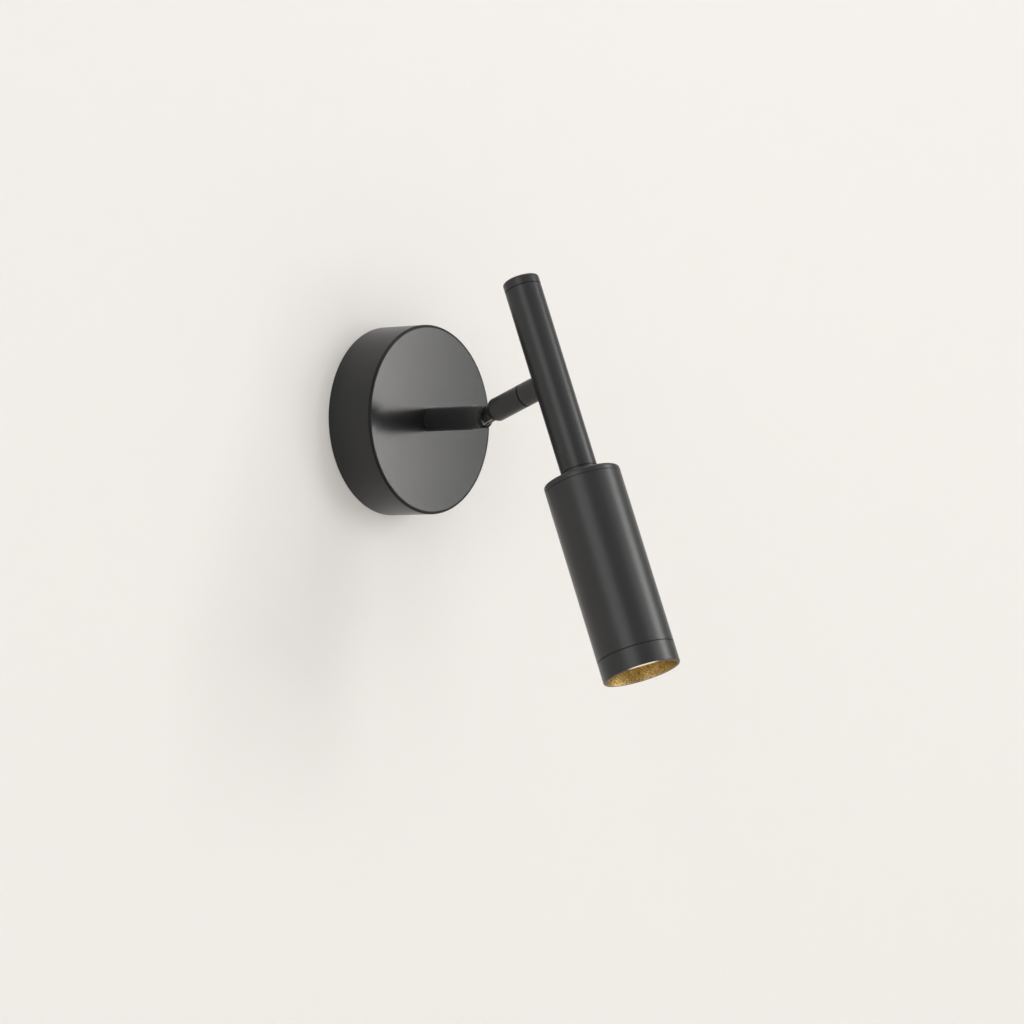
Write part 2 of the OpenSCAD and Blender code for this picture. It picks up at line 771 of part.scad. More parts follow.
// Second stem: slotted tongue at the knuckle, threaded cup at the swivel
module arm_stem() {
    color("dimgray") from_pivot() difference() {
        union() {
            translate([-tongue_t / 2, 0, 0]) rotate([0, 90, 0]) cylinder(r = tongue_r, h = tongue_t);
            translate([-tongue_t / 2, -tongue_neck, 0])
                cube([tongue_t, 2 * tongue_neck, shoulder_start + stem_chamfer_l]);
            translate([0, 0, shoulder_start])
                cylinder(r1 = shoulder_r, r2 = stem_r, h = stem_chamfer_l);
            translate([0, 0, shoulder_start + stem_chamfer_l])
                cylinder(r = stem_r, h = seam_at - shoulder_start - stem_chamfer_l - seam_chamfer);
            translate([0, 0, seam_at - seam_chamfer])
                cylinder(r1 = stem_r, r2 = stem_r - seam_chamfer, h = seam_chamfer);
        }
        translate([-tongue_t, 0, 0]) rotate([0, 90, 0]) cylinder(r = pivot_r + fit_gap, h = 2 * tongue_t);
        translate([-wire_slot_half, -stem_r, -tongue_r - overrun])
            cube([2 * wire_slot_half, stem_d, tongue_r + overrun + shoulder_start]);
        translate([0, 0, shoulder_start - overrun])
            cylinder(r = arm_bore_r, h = cup_floor - shoulder_start + 2 * overrun);
        translate([0, 0, cup_floor]) cylinder(r = cup_r + fit_gap, h = cup_depth + overrun);
        translate([0, -stop_ring_r, cup_floor - stop_pin_sunk])
            cylinder(r = stop_pin_r + fit_gap, h = stop_pin_sunk + overrun);
    }
}

// Threaded bush that closes the cup and carries the turning spindle
module swivel_bush() {
    color("goldenrod") from_pivot(bush_start) difference() {
        pipe(cup_r, spindle_r + fit_gap, bush_l);
        translate([-cup_r - overrun, -notch_w / 2, bush_l - notch_d])
            cube([2 * (cup_r + overrun), notch_w, notch_d + overrun]);
    }
}

module swivel_spring_washer() {
    color("silver") from_pivot(flange_top + seat_gap)
        pipe(flange_r, spindle_r + 2 * fit_gap, spring_t);
}

module swivel_stop_pin() {
    color("silver") from_pivot(cup_floor - stop_pin_sunk + seat_gap) translate([0, -stop_ring_r, 0])
        cylinder(r = stop_pin_r, h = stop_pin_sunk + stop_pin_h);
}

module arm_leads() {
    color("darkred") from_pivot() for (side = [-1, 1]) lead([
        [side * lead_half, 0, shoulder_start + seat_gap],
        [side * lead_half, 0, cup_floor]
    ]);
}

// Hollow spindle: flange and stop tab in the cup, threaded end in the tube's insert
module swivel_spindle() {
    color("goldenrod") from_pivot() difference() {
        union() {
            translate([0, 0, flange_floor]) cylinder(r = flange_r, h = flange_t);
            translate([0, 0, flange_floor])
                cylinder(r = spindle_r, h = arm_length - spindle_end - flange_floor);
            intersection() {
                translate([0, 0, cup_floor + turn_gap])
                    cylinder(r = flange_r, h = flange_top - cup_floor - turn_gap);
                translate([-stop_tab_w / 2, 0, cup_floor])
                    cube([stop_tab_w, flange_r, flange_top - cup_floor]);
            }
        }
        translate([0, 0, cup_floor]) cylinder(r = spindle_bore / 2, h = arm_length - cup_floor);
    }
}

// Spacer between the seam and the tube, with a saddle cut to the tube's round
module swivel_sleeve() {
    start = seam_at + turn_gap;
    color("dimgray") difference() {
        from_pivot(start) union() {
            cylinder(r1 = stem_r - seam_chamfer, r2 = stem_r, h = seam_chamfer);
            translate([0, 0, seam_chamfer])
                cylinder(r = stem_r, h = arm_length - start - seam_chamfer);
        }
        from_pivot(start - overrun) cylinder(r = spindle_r + fit_gap, h = arm_length);
        on_tube(-tube_d) cylinder(r = tube_r + seat_gap, h = 2 * tube_d);
    }
}

// Slim tube, its lower end turned down to a spigot that enters the neck of the head's cap
module tube() {
    color("dimgray") on_tube() difference() {
        union() {
            translate([0, 0, neck_top]) cylinder(r = tube_r, h = tube_cap_seat - neck_top);
            translate([0, 0, tube_bottom]) cylinder(r = spigot_r, h = tube_cap_seat - tube_bottom);
        }
        translate([0, 0, tube_bottom - overrun])
            cylinder(r = tube_inner_r, h = tube_cap_seat - tube_bottom + 2 * overrun);
        rotate([-90, 0, 0]) cylinder(r = spindle_r + fit_gap, h = tube_d);
    }
}

// Slug inside the tube: the spindle screws into it and the leads turn down through it
module tube_insert() {
    color("goldenrod") on_tube() difference() {
        translate([0, 0, -insert_l / 2]) cylinder(r = tube_inner_r - seat_gap, h = insert_l);
        rotate([-90, 0, 0]) cylinder(r = spindle_r + fit_gap, h = tube_d);
        translate([0, 0, -insert_l]) cylinder(r = stem_bore_r, h = insert_l);
    }
}

module tube_cap() {
    color("dimgray") on_tube(tube_cap_seat) {
        translate([0, 0, seam_groove_w]) rotate_extrude()
            edged_profile(tube_r, tube_cap_h - seam_groove_w, tube_cap_edge_r);
        translate([0, 0, seat_gap]) cylinder(r = tube_r - seam_groove_d, h = tube_cap_h / 2);
        translate([0, 0, -tube_cap_plug])
            cylinder(r = tube_inner_r - seat_gap, h = tube_cap_plug + tube_cap_h / 2);
    }
}

// Cap of the head, with a neck and an inner collar for the tube's spigot and a plug for the housing
module head_cap() {
    color("dimgray") on_tube() difference() {
        union() {
            translate([0, 0, cap_seam]) rotate_extrude()
                edged_profile(head_r, head_cap_h, head_cap_edge_r);
            translate([0, 0, cap_seam]) {
                cylinder(r = tube_r, h = neck_top - cap_seam - seam_groove_w);
                cylinder(r = tube_r - seam_groove_d, h = neck_top - cap_seam - seat_gap);
            }
            translate([0, 0, cap_seam - cap_plug_l]) difference() {
                cylinder(r = bore_r - seat_gap, h = cap_plug_l + seat_gap);
                translate([0, 0, -overrun])
                    cylinder(r = bore_r - seat_gap - cap_plug_wall, h = cap_plug_l + overrun);
            }
            translate([0, 0, collar_end]) cylinder(r = collar_r, h = cap_seam - collar_end + seat_gap);
        }
        translate([0, 0, tube_bottom - seat_gap])
            cylinder(r = spigot_r + fit_gap, h = neck_top - tube_bottom + overrun);
        translate([0, 0, collar_end - overrun])
            cylinder(r = collar_lip_r, h = collar_lip_t + 2 * overrun);
        translate([0, 0, collar_screw_at])
            rotate([90, 0, 0]) cylinder(r = collar_screw_r + fit_gap, h = collar_r + overrun);
    }
}

module head_cap_set_screw() {
    color("gray") on_tube(collar_screw_at) translate([0, -spigot_r - fit_gap - collar_screw_l, 0])
        rotate([90, 0, 0]) set_screw(collar_screw_r, collar_screw_l);
}

// Housing with an inner ledge that the heat sink is clamped against
module head_housing() {
    ledge_at = sink_ledge + seat_gap;
    ledge_l = fin_h + seat_gap;
    color("dimgray") on_tube() difference() {
        translate([0, 0, bezel_top]) union() {
            cylinder(r = head_r, h = cap_seam - seat_gap - seam_chamfer - bezel_top);
            translate([0, 0, cap_seam - seat_gap - seam_chamfer - bezel_top])
                cylinder(r1 = head_r, r2 = head_r - seam_chamfer, h = seam_chamfer);
        }
        translate([0, 0, bezel_top - overrun]) cylinder(r = bore_r, h = ledge_at - bezel_top + overrun);
        translate([0, 0, ledge_at]) cylinder(r = bore_r - ledge_w, h = ledge_l);
        translate([0, 0, ledge_at + ledge_l - seat_gap])
            cylinder(r = bore_r, h = cap_seam - ledge_at - ledge_l + overrun);
    }
}

// Heat sink: round flange, solid core and a ring of fins with one place free for the leads
module heat_sink() {
    fin_r = bore_r - ledge_w - fin_gap;
    fin_hub_r = sink_core_r * 0.8;
    color("lightgray") on_tube(sink_bottom) difference() {
        union() {
            cylinder(r = bore_r - seat_gap, h = sink_flange_t);
            cylinder(r = sink_core_r, h = sink_flange_t + fin_h);
            for (place = [1 : fin_places - 1]) rotate([0, 0, place * 360 / fin_places - 90])
                translate([fin_hub_r, -fin_t / 2, sink_flange_t / 2])
                    cube([fin_r - fin_hub_r - fin_t / 4, fin_t, fin_h + sink_flange_t / 2]);
        }
        translate([0, -wire_hole_at, -overrun]) cylinder(r = wire_hole_r, h = sink_flange_t + 2 * overrun);
        for (side = [-1, 1]) translate([side * board_screw_at, 0, -overrun])
            cylinder(r = board_screw_r + fit_gap, h = sink_flange_t - board_t / 2 + overrun);
    }
}

module led_board() {
    color("white") on_tube(board_bottom) difference() {
        cylinder(r = board_r, h = board_t);
        translate([0, -wire_hole_at, -overrun]) cylinder(r = wire_hole_r, h = board_t + 2 * overrun);
        for (side = [-1, 1]) translate([side * board_screw_at, 0, -overrun])
            cylinder(r = board_screw_r + 2 * fit_gap, h = board_t + 2 * overrun);
    }
}

module board_screws() {
    color("silver") on_tube(board_bottom - seat_gap) for (side = [-1, 1])
        translate([side * board_screw_at, 0, 0]) mirror([0, 0, 1])
            pan_screw(board_screw_r, board_screw_l - board_t / 2, board_screw_head_r, board_screw_head_h);
}

module led_emitter() {
    color("khaki") on_tube(board_bottom - seat_gap - emitter_t) cylinder(r = emitter_r, h = emitter_t);
}

// Radius of the reflector's inside, at a share of its height from the throat
function reflector_radius(share) =
    reflector_throat_r + (reflector_rim_r - reflector_throat_r) * pow(share, reflector_curve_share);

module reflector() {
    curve = [for (i = [0 : reflector_steps]) let (s = i / reflector_steps)
        [reflector_radius(s), (1 - s) * reflector_h]];
    outer = [for (i = [reflector_steps : -1 : 0]) let (s = i / reflector_steps)
        [reflector_radius(s) + reflector_wall, (1 - s) * reflector_h]];
    color("silver") on_tube(reflector_bottom) rotate_extrude() {
        polygon(concat(curve, outer));
        translate([reflector_rim_r, 0]) square([bore_r - seat_gap - reflector_rim_r, reflector_rim_t]);
    }
}

module lens() {
    color("lightblue") on_tube(lens_bottom) cylinder(r = bore_r - 4 * seat_gap, h = lens_t);
}

module lens_gasket() {
    color("darkslategray") on_tube(baffle_top + seat_gap)
        pipe(bore_r - 2 * seat_gap, bore_r - gasket_w, gasket_t);
}

// Gold baffle: its neck screws into the housing and clamps the lens, its rim holds the bezel
module baffle() {
    skirt_top = bezel_top - seat_gap;
    rim_top = head_mouth + baffle_rim_t;
    color("gold") on_tube() rotate_extrude() polygon([
        [baffle_throat_r, baffle_top],
        [bore_r - seat_gap, baffle_top],
        [bore_r - seat_gap, skirt_top],
        [head_r - bezel_wall - seat_gap, skirt_top],
        [head_r - bezel_wall - seat_gap, rim_top],
        [baffle_rim_r, rim_top],
        [baffle_rim_r - baffle_rim_bevel, head_mouth],
        [baffle_mouth_r, head_mouth],
        [baffle_neck_r, skirt_top]
    ]);
}

module bezel() {
    bezel_bottom = head_mouth + baffle_rim_t + seat_gap;
    full_h = bezel_top - seat_gap - bezel_bottom;
    color("dimgray") on_tube(bezel_bottom) rotate_extrude() difference() {
        union() {
            translate([0, bezel_edge_r]) square([head_r, full_h - bezel_edge_r - seam_groove_w]);
            square([head_r - bezel_edge_r, full_h - seam_groove_w]);
            square([head_r - seam_groove_d, full_h]);
            translate([head_r - bezel_edge_r, bezel_edge_r]) circle(r = bezel_edge_r);
        }
        translate([0, -overrun]) square([head_r - bezel_wall, bezel_h + 2 * overrun]);
    }
}

// Leads through the spindle, down the tube, past the fins and through the board's hole
module head_leads() {
    color("darkred") on_tube() for (side = [-1, 1]) lead([
        [side * lead_half, arm_length - cup_floor - turn_gap, 0],
        [side * lead_half, 0, 0],
        [side * lead_half, 0, tube_bottom + lead_turn],
        [side * lead_half, -wire_hole_at, fin_top - lead_turn],
        [side * lead_half, -wire_hole_at, board_bottom]
    ]);
}

wall_bracket();
canopy();
canopy_set_screws();
terminal_block();
terminal_inserts();
terminal_screws();
terminal_fixing_screw();
driver_case();
driver_screws();
earth_screw();
earth_washer();
mains_leads();
earth_lead();
base_leads();
arm_nipple();
arm_star_washer();
arm_lock_nut();
base_stem();
pivot_screw();
friction_washers();
arm_stem();
swivel_bush();
swivel_spring_washer();
swivel_stop_pin();
arm_leads();
swivel_spindle();
swivel_sleeve();
tube();
tube_insert();
tube_cap();
head_cap();
head_cap_set_screw();
head_housing();
heat_sink();
led_board();
board_screws();
led_emitter();
reflector();
lens();
lens_gasket();
baffle();
bezel();
head_leads();
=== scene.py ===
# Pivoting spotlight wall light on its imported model. Sections follow the lamp as it is put together.
import bpy, bmesh, math
from mathutils import Matrix, Vector


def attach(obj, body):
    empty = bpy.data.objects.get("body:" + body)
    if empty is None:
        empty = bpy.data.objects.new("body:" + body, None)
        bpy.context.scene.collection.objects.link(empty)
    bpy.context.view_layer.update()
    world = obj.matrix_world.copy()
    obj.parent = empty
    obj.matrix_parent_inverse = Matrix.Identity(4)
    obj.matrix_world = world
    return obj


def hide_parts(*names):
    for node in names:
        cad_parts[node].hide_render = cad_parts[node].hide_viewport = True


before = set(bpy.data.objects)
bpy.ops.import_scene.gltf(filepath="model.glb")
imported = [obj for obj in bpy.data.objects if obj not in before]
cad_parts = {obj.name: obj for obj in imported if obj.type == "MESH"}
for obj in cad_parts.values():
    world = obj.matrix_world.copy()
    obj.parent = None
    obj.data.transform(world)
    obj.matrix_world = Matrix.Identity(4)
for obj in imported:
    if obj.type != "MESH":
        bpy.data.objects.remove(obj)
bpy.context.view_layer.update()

# ---------------------------------------------------------------------------------------------
# Room: the painted wall that the lamp is screwed to, with the wall box's opening behind the canopy,
# and a pale floor, both seen from their front only. Soft lights stand on the right, on the left and
# above, two more show only as a sheen, and a long lens looks from the left.
WALL_TONE, WALL_SHARE_LIT = (0.888, 0.866, 0.832), 0.84
SHEET_SIZE, WALL_GAP, FLOOR_AT = 8, 0.0002, -0.62
BOX_R, PINHOLE_R = 0.046, 0.0001
AIR_TONE, AIR_STRENGTH = (1, 0.997, 0.99), 0.50


def placed(name, data):
    """A new object with that name and data, put into the scene."""
    made = bpy.data.objects.new(name, data)
    bpy.context.scene.collection.objects.link(made)
    return made


def settled(name, bm):
    """The shape as a mesh object in the scene."""
    mesh = bpy.data.meshes.new(name)
    bm.to_mesh(mesh)
    bm.free()
    return placed(name, mesh)


def wire(tree, kind, sockets, **settings):
    """A node of that kind, its settings set, and its inputs joined to outputs or given values."""
    node = tree.nodes.new(kind)
    for label, value in settings.items():
        setattr(node, label, value)
    for place, value in sockets.items():
        if isinstance(value, bpy.types.NodeSocket):
            tree.links.new(value, node.inputs[place])
        else:
            node.inputs[place].default_value = value
    return node


def seen_by(tree, *rays):
    """1 for rays of those kinds and 0 for all others."""
    path = wire(tree, "ShaderNodeLightPath", {})
    seen = path.outputs[rays[0]]
    for ray in rays[1:]:
        either = wire(tree, "ShaderNodeMath", {0: seen, 1: path.outputs[ray]}, operation="MAXIMUM")
        seen = either.outputs[0]
    return seen


def pale_surface(name, place, tipped, opening):
    """A square sheet with a round opening in its middle, seen from its front side only."""
    bm = bmesh.new()
    bmesh.ops.create_circle(bm, segments=64, radius=opening)
    grown = bmesh.ops.extrude_edge_only(bm, edges=bm.edges[:])["geom"]
    for vert in [part for part in grown if isinstance(part, bmesh.types.BMVert)]:
        vert.co *= SHEET_SIZE / 2 / max(abs(vert.co.x), abs(vert.co.y))
    bm.normal_update()
    bmesh.ops.reverse_faces(bm, faces=[face for face in bm.faces if face.normal.z < 0])
    turn = Matrix.Rotation(math.radians(tipped), 4, "X")
    bmesh.ops.transform(bm, matrix=Matrix.Translation(place) @ turn, verts=bm.verts)
    surface = settled(name, bm)
    paint = bpy.data.materials.new(name + "_paint")
    paint.use_nodes = True
    tree = paint.node_tree
    tree.nodes.clear()
    lit = wire(tree, "ShaderNodeBsdfDiffuse", {"Color": [c * WALL_SHARE_LIT for c in WALL_TONE] + [1]})
    seen = seen_by(tree, "Is Camera Ray", "Is Glossy Ray", "Is Transmission Ray")
    glow = wire(tree, "ShaderNodeEmission", {"Color": [c * (1 - WALL_SHARE_LIT) for c in WALL_TONE] + [1],
                                             "Strength": seen})
    both = wire(tree, "ShaderNodeAddShader", {0: lit.outputs[0], 1: glow.outputs[0]})
    clear = wire(tree, "ShaderNodeBsdfTransparent", {})
    side = wire(tree, "ShaderNodeNewGeometry", {})
    facing = wire(tree, "ShaderNodeMixShader", {0: side.outputs["Backfacing"], 1: both.outputs[0],
                                                2: clear.outputs[0]})
    wire(tree, "ShaderNodeOutputMaterial", {"Surface": facing.outputs[0]})
    surface.data.materials.append(paint)


pale_surface("room_wall", (0, WALL_GAP, 0), 90, BOX_R)
pale_surface("room_floor", (0, 0, FLOOR_AT), 0, PINHOLE_R)

air = bpy.data.worlds.new("room_air")
air.use_nodes = True
air_tree = air.node_tree
air_tree.nodes.clear()
air_light = wire(air_tree, "ShaderNodeBackground", {"Color": (*AIR_TONE, 1), "Strength": AIR_STRENGTH})
air_seen = wire(air_tree, "ShaderNodeBackground", {"Color": (*WALL_TONE, 1)})
air_mix = wire(air_tree, "ShaderNodeMixShader", {0: seen_by(air_tree, "Is Camera Ray", "Is Transmission Ray"),
                                                 1: air_light.outputs[0], 2: air_seen.outputs[0]})
wire(air_tree, "ShaderNodeOutputWorld", {"Surface": air_mix.outputs[0]})
bpy.context.scene.world = air


def direction(around, above):
    """Out from the lamp, by the degrees to the right of straight ahead and the degrees upwards."""
    a, e = math.radians(around), math.radians(above)
    return Vector((math.sin(a) * math.cos(e), -math.cos(a) * math.cos(e), math.sin(e)))


LIT_PLACE = Vector((0, -0.08, 0))


def soft_light(name, around, above, away, width, height, radiance, tint=(1, 1, 1), matte=True, sheen=True):
    """A soft light aimed at the lamp. It lights the matte surfaces, shows as a sheen, or does both."""
    out = direction(around, above)
    lamp = bpy.data.lights.new(name, "AREA")
    lamp.shape, lamp.size, lamp.size_y = "RECTANGLE", width, height
    lamp.energy = radiance * math.pi * width * height
    lamp.color = tint
    holder = placed(name, lamp)
    holder.location = LIT_PLACE + out * away
    holder.rotation_mode = "QUATERNION"
    holder.rotation_quaternion = out.to_track_quat("Z", "Y")
    holder.visible_camera, holder.visible_diffuse, holder.visible_glossy = False, matte, sheen


soft_light("softbox_right", around=30, above=10, away=9.0, width=5.2, height=5.4, radiance=3.55, sheen=False)
soft_light("sheen_right", around=39, above=12, away=2.2, width=0.8, height=1.7, radiance=7.6,
           tint=(1, 0.985, 0.96), matte=False)
soft_light("sheen_middle", around=12, above=12, away=2.2, width=1.2, height=1.7, radiance=1.8, matte=False)
soft_light("softbox_left", around=-78, above=12, away=9.0, width=6.1, height=6.4, radiance=2.25)
soft_light("softbox_above", around=0, above=78, away=2.2, width=1.6, height=1.0, radiance=3.2)

CAMERA_AROUND, CAMERA_ABOVE, CAMERA_AWAY = -51.983, -1.7, 1.83
SHIFT_RIGHT, SHIFT_UP = 0.064772, -0.048248
SENSOR_MM, LENS_MM, NEAREST, FARTHEST = 36, 120.876, 0.05, 50
camera_back = direction(CAMERA_AROUND, CAMERA_ABOVE)
camera_right = direction(CAMERA_AROUND + 90, 0)
camera_up = camera_back.cross(camera_right)
camera = placed("long_lens", bpy.data.cameras.new("long_lens"))
camera.data.sensor_width, camera.data.lens = SENSOR_MM, LENS_MM
camera.data.clip_start, camera.data.clip_end = NEAREST, FARTHEST
camera.location = camera_right * SHIFT_RIGHT + camera_up * SHIFT_UP + camera_back * CAMERA_AWAY
camera.rotation_mode = "QUATERNION"
camera.rotation_quaternion = Matrix((camera_right, camera_up, camera_back)).transposed().to_quaternion()
bpy.context.scene.camera = camera
bpy.context.scene.view_settings.view_transform = "Standard"

# ---------------------------------------------------------------------------------------------
# Wall bracket: a strap of 2 mm steel, punched and bent, then zinc plated. It is screwed to the
# wall box through its slots, and its tabs hold the canopy. Its plating shows faint spangles.


def effect(name, inputs, outputs):
    """An empty node group with named inputs (name, value) and named outputs, and its two ends."""
    group = bpy.data.node_groups.new(name, "ShaderNodeTree")
    for label, value in inputs:
        kind = "NodeSocketVector" if label == "Vector" else "NodeSocketFloat"
        socket = group.interface.new_socket(label, in_out="INPUT", socket_type=kind)
        if kind == "NodeSocketFloat":
            socket.default_value = value
    for label in outputs:
        group.interface.new_socket(label, in_out="OUTPUT", socket_type="NodeSocketFloat")
    return group, group.nodes.new("NodeGroupInput").outputs, group.nodes.new("NodeGroupOutput").inputs


def times(tree, one, other):
    """The product of two values."""
    return wire(tree, "ShaderNodeMath", {0: one, 1: other}, operation="MULTIPLY").outputs[0]


def rise(tree, value, start, end):
    """0 where the value is at the start, 1 where it is at the end."""
    return wire(tree, "ShaderNodeMapRange", {"Value": value, "From Min": start, "From Max": end}).outputs[0]


def noise(tree, place, scale, detail, roughness=0.5):
    """A cloudy pattern of values from 0 to 1."""
    return wire(tree, "ShaderNodeTexNoise", {"Vector": place, "Scale": scale, "Detail": detail,
                                             "Roughness": roughness}).outputs[0]


# Grain: a fine speckle for bump and roughness, and a slow cloud for the colour
grain, given, gives = effect("surface_grain", [("Vector", None), ("Fine Scale", 2000.0), ("Cloud Scale", 60.0),
                                               ("Contrast", 1.0)], ["Speckle", "Cloud"])
for label, pattern in (("Speckle", noise(grain, given["Vector"], given["Fine Scale"], 3.0, 0.55)),
                       ("Cloud", noise(grain, given["Vector"], given["Cloud Scale"], 4.0, 0.6))):
    around_half = wire(grain, "ShaderNodeMath", {0: pattern, 1: 0.5}, operation="SUBTRACT")
    stronger = wire(grain, "ShaderNodeMath", {0: around_half.outputs[0], 1: given["Contrast"], 2: 0.5},
                    operation="MULTIPLY_ADD", use_clamp=True)
    grain.links.new(stronger.outputs[0], gives[label])

# Worn edges: where the rounded normal leaves the true one, broken up by a noise
edges, given, gives = effect("worn_edges", [("Vector", None), ("Radius", 0.0005), ("Amount", 1.0)], ["Wear"])
rounded_normal = wire(edges, "ShaderNodeBevel", {"Radius": given["Radius"]}, samples=4)
true_normal = wire(edges, "ShaderNodeNewGeometry", {})
same = wire(edges, "ShaderNodeVectorMath", {0: rounded_normal.outputs[0], 1: true_normal.outputs["Normal"]},
            operation="DOT_PRODUCT")
bent = rise(edges, same.outputs["Value"], 0.995, 0.86)
patches = rise(edges, noise(edges, given["Vector"], 420.0, 3.0), 0.35, 0.7)
edges.links.new(times(edges, times(edges, bent, patches), given["Amount"]), gives["Wear"])

# Dust: thin and uneven, on what faces up
dust, given, gives = effect("settled_dust", [("Vector", None), ("Amount", 0.2)], ["Dust"])
facing = wire(dust, "ShaderNodeNewGeometry", {})
upright = wire(dust, "ShaderNodeSeparateXYZ", {0: facing.outputs["Normal"]})
upward = rise(dust, upright.outputs["Z"], 0.15, 1.0)
specks = rise(dust, noise(dust, given["Vector"], 900.0, 5.0, 0.7), 0.4, 0.75)
dust.links.new(times(dust, times(dust, upward, specks), given["Amount"]), gives["Dust"])

DUST_TONE, DUST_DULLS = (0.30, 0.285, 0.26), 0.5


def overlaid(tree, mask, under, over):
    """The colour under, and the colour over it where the mask is 1."""
    return wire(tree, "ShaderNodeMix", {"Factor": mask, "A": under, "B": (*over, 1)},
                data_type="RGBA").outputs["Result"]


def finish(name, tone, other_tone, worn_tone, rough, metal=0.0, fine_scale=2000.0, cloud_scale=60.0,
           contrast=1.0, bump=0.15, bump_depth=0.00003, wear=0.6, wear_radius=0.0004, dusty=0.15,
           stretch=(1, 1, 1), **shader_values):
    """Procedural finish: cloud between two tones, speckle in roughness and bump, worn edges, dust."""
    made = bpy.data.materials.new(name)
    made.use_nodes = True
    tree = made.node_tree
    shader = tree.nodes["Principled BSDF"]
    spot = wire(tree, "ShaderNodeTexCoord", {}).outputs["Object"]
    laid = wire(tree, "ShaderNodeMapping", {"Vector": spot, "Scale": stretch})
    marks = wire(tree, "ShaderNodeGroup", {"Vector": laid.outputs[0], "Fine Scale": fine_scale,
                                           "Cloud Scale": cloud_scale, "Contrast": contrast}, node_tree=grain)
    wear_and_painted_highlight = wire(tree, "ShaderNodeGroup", {"Vector": spot, "Radius": wear_radius, "Amount": wear},
                  node_tree=edges)
    film = wire(tree, "ShaderNodeGroup", {"Vector": spot, "Amount": dusty}, node_tree=dust)
    clouded = overlaid(tree, marks.outputs["Cloud"], (*tone, 1), other_tone)
    rubbed_bare = overlaid(tree, wear_and_painted_highlight.outputs["Wear"], clouded, worn_tone)
    tree.links.new(overlaid(tree, film.outputs["Dust"], rubbed_bare, DUST_TONE), shader.inputs["Base Color"])
    dull = wire(tree, "ShaderNodeMapRange", {"Value": marks.outputs["Speckle"], "To Min": rough[0],
                                             "To Max": rough[1]})
    duller = wire(tree, "ShaderNodeMath", {0: film.outputs["Dust"], 1: DUST_DULLS, 2: dull.outputs[0]},
                  operation="MULTIPLY_ADD", use_clamp=True)
    tree.links.new(duller.outputs[0], shader.inputs["Roughness"])
    relief = wire(tree, "ShaderNodeBump", {"Strength": bump, "Distance": bump_depth,
                                           "Height": marks.outputs["Speckle"]})
    tree.links.new(relief.outputs[0], shader.inputs["Normal"])
    shader.inputs["Metallic"].default_value = metal
    for label, value in shader_values.items():
        shader.inputs[label.replace("_", " ")].default_value = value
    return made


def give(made, *names):
    """Puts a finish on CAD nodes that keep their own mesh."""
    for name in names:
        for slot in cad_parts[name].material_slots:
            slot.material = made


zinc_plate = finish("zinc_plate", (0.56, 0.56, 0.55), (0.70, 0.70, 0.68), (0.80, 0.80, 0.80),
                    rough=(0.30, 0.46), metal=1.0, fine_scale=700.0, cloud_scale=160.0, contrast=1.6,
                    bump=0.12, dusty=0.05)
give(zinc_plate, "wall_bracket")

# ---------------------------------------------------------------------------------------------
# Canopy: a die-cast drum of 100 mm with a small round on its front edge, powder coated satin
# black. Inside are a boss for the arm and posts for the driver, the terminals and the earth screw.
MM = 0.001
CANOPY_R, CANOPY_DEPTH, CANOPY_WALL, CANOPY_ROUND = 50, 28, 2.5, 1.0
ARM_HOLE_R, BOSS_R, BOSS_H = 5.05, 12.5, 1.5
SET_SCREW_HOLE_R, SET_SCREW_OUT = 2.05, 12.5
POST_ROOT, HOLE_PAST, RIM_PAST = 1.25, 1, 2  # into the canopy's floor, and past a post's end and the rim
POSTS = [((25.5, 27.02), 2, 3, 1.55, 3.25), ((25.5, -27.02), 2, 3, 1.55, 3.25),
         ((-27, 16), 3, 3, 1.55, 4.25), ((0, -24), 8, 3.8, 2.05, 8)]  # place, height, radius, hole, its depth
PAINTED_SHADE_BAND = 0.5
MERGED, FINE_ROUND = 1e-7, 0.5
SHARP_ANGLE, SOFT_ANGLE = 30, 35
FAR = 1000  # past the end of any piece
out_of_wall = Matrix.Rotation(math.radians(90), 4, "X")


def turned(outline, steps=192, closed=True):
    """Piece turned on its z axis, from corners (radius, height, round) of its half outline, in mm."""
    bm = bmesh.new()
    corners = [bm.verts.new((r * MM, 0, h * MM)) for r, h, _ in outline]
    pairs = list(zip(corners, corners[1:]))
    if closed:
        pairs.append((corners[-1], corners[0]))
    for pair in pairs:
        bm.edges.new(pair)
    for corner, (_, _, edge_round) in zip(corners, outline):
        if edge_round:
            bmesh.ops.bevel(bm, geom=[corner], offset=edge_round * MM, offset_type="OFFSET",
                            affect="VERTICES", segments=3 if edge_round < FINE_ROUND else 8, profile=0.5,
                            material=-1)
    bmesh.ops.spin(bm, geom=bm.verts[:] + bm.edges[:], cent=(0, 0, 0), axis=(0, 0, 1), dvec=(0, 0, 0),
                   angle=math.tau, steps=steps, use_merge=True)
    bmesh.ops.remove_doubles(bm, verts=bm.verts, dist=MERGED)
    bmesh.ops.recalc_face_normals(bm, faces=bm.faces)
    return bm


def rod(r, start, end, turn=Matrix.Identity(4), steps=64):
    """Plain round tool along z between two heights, in mm, then turned."""
    bm = bmesh.new()
    bmesh.ops.create_cone(bm, cap_ends=True, segments=steps, radius1=r * MM, radius2=r * MM,
                          depth=(end - start) * MM)
    bmesh.ops.translate(bm, vec=(0, 0, (start + end) / 2 * MM), verts=bm.verts)
    bmesh.ops.transform(bm, matrix=turn, verts=bm.verts)
    return bm


def block(low, high):
    """Plain square tool between two corners, in mm."""
    bm = bmesh.new()
    bmesh.ops.create_cube(bm, size=MM)
    bmesh.ops.scale(bm, vec=[b - a for a, b in zip(low, high)], verts=bm.verts)
    bmesh.ops.translate(bm, vec=[(a + b) / 2 * MM for a, b in zip(low, high)], verts=bm.verts)
    return bm


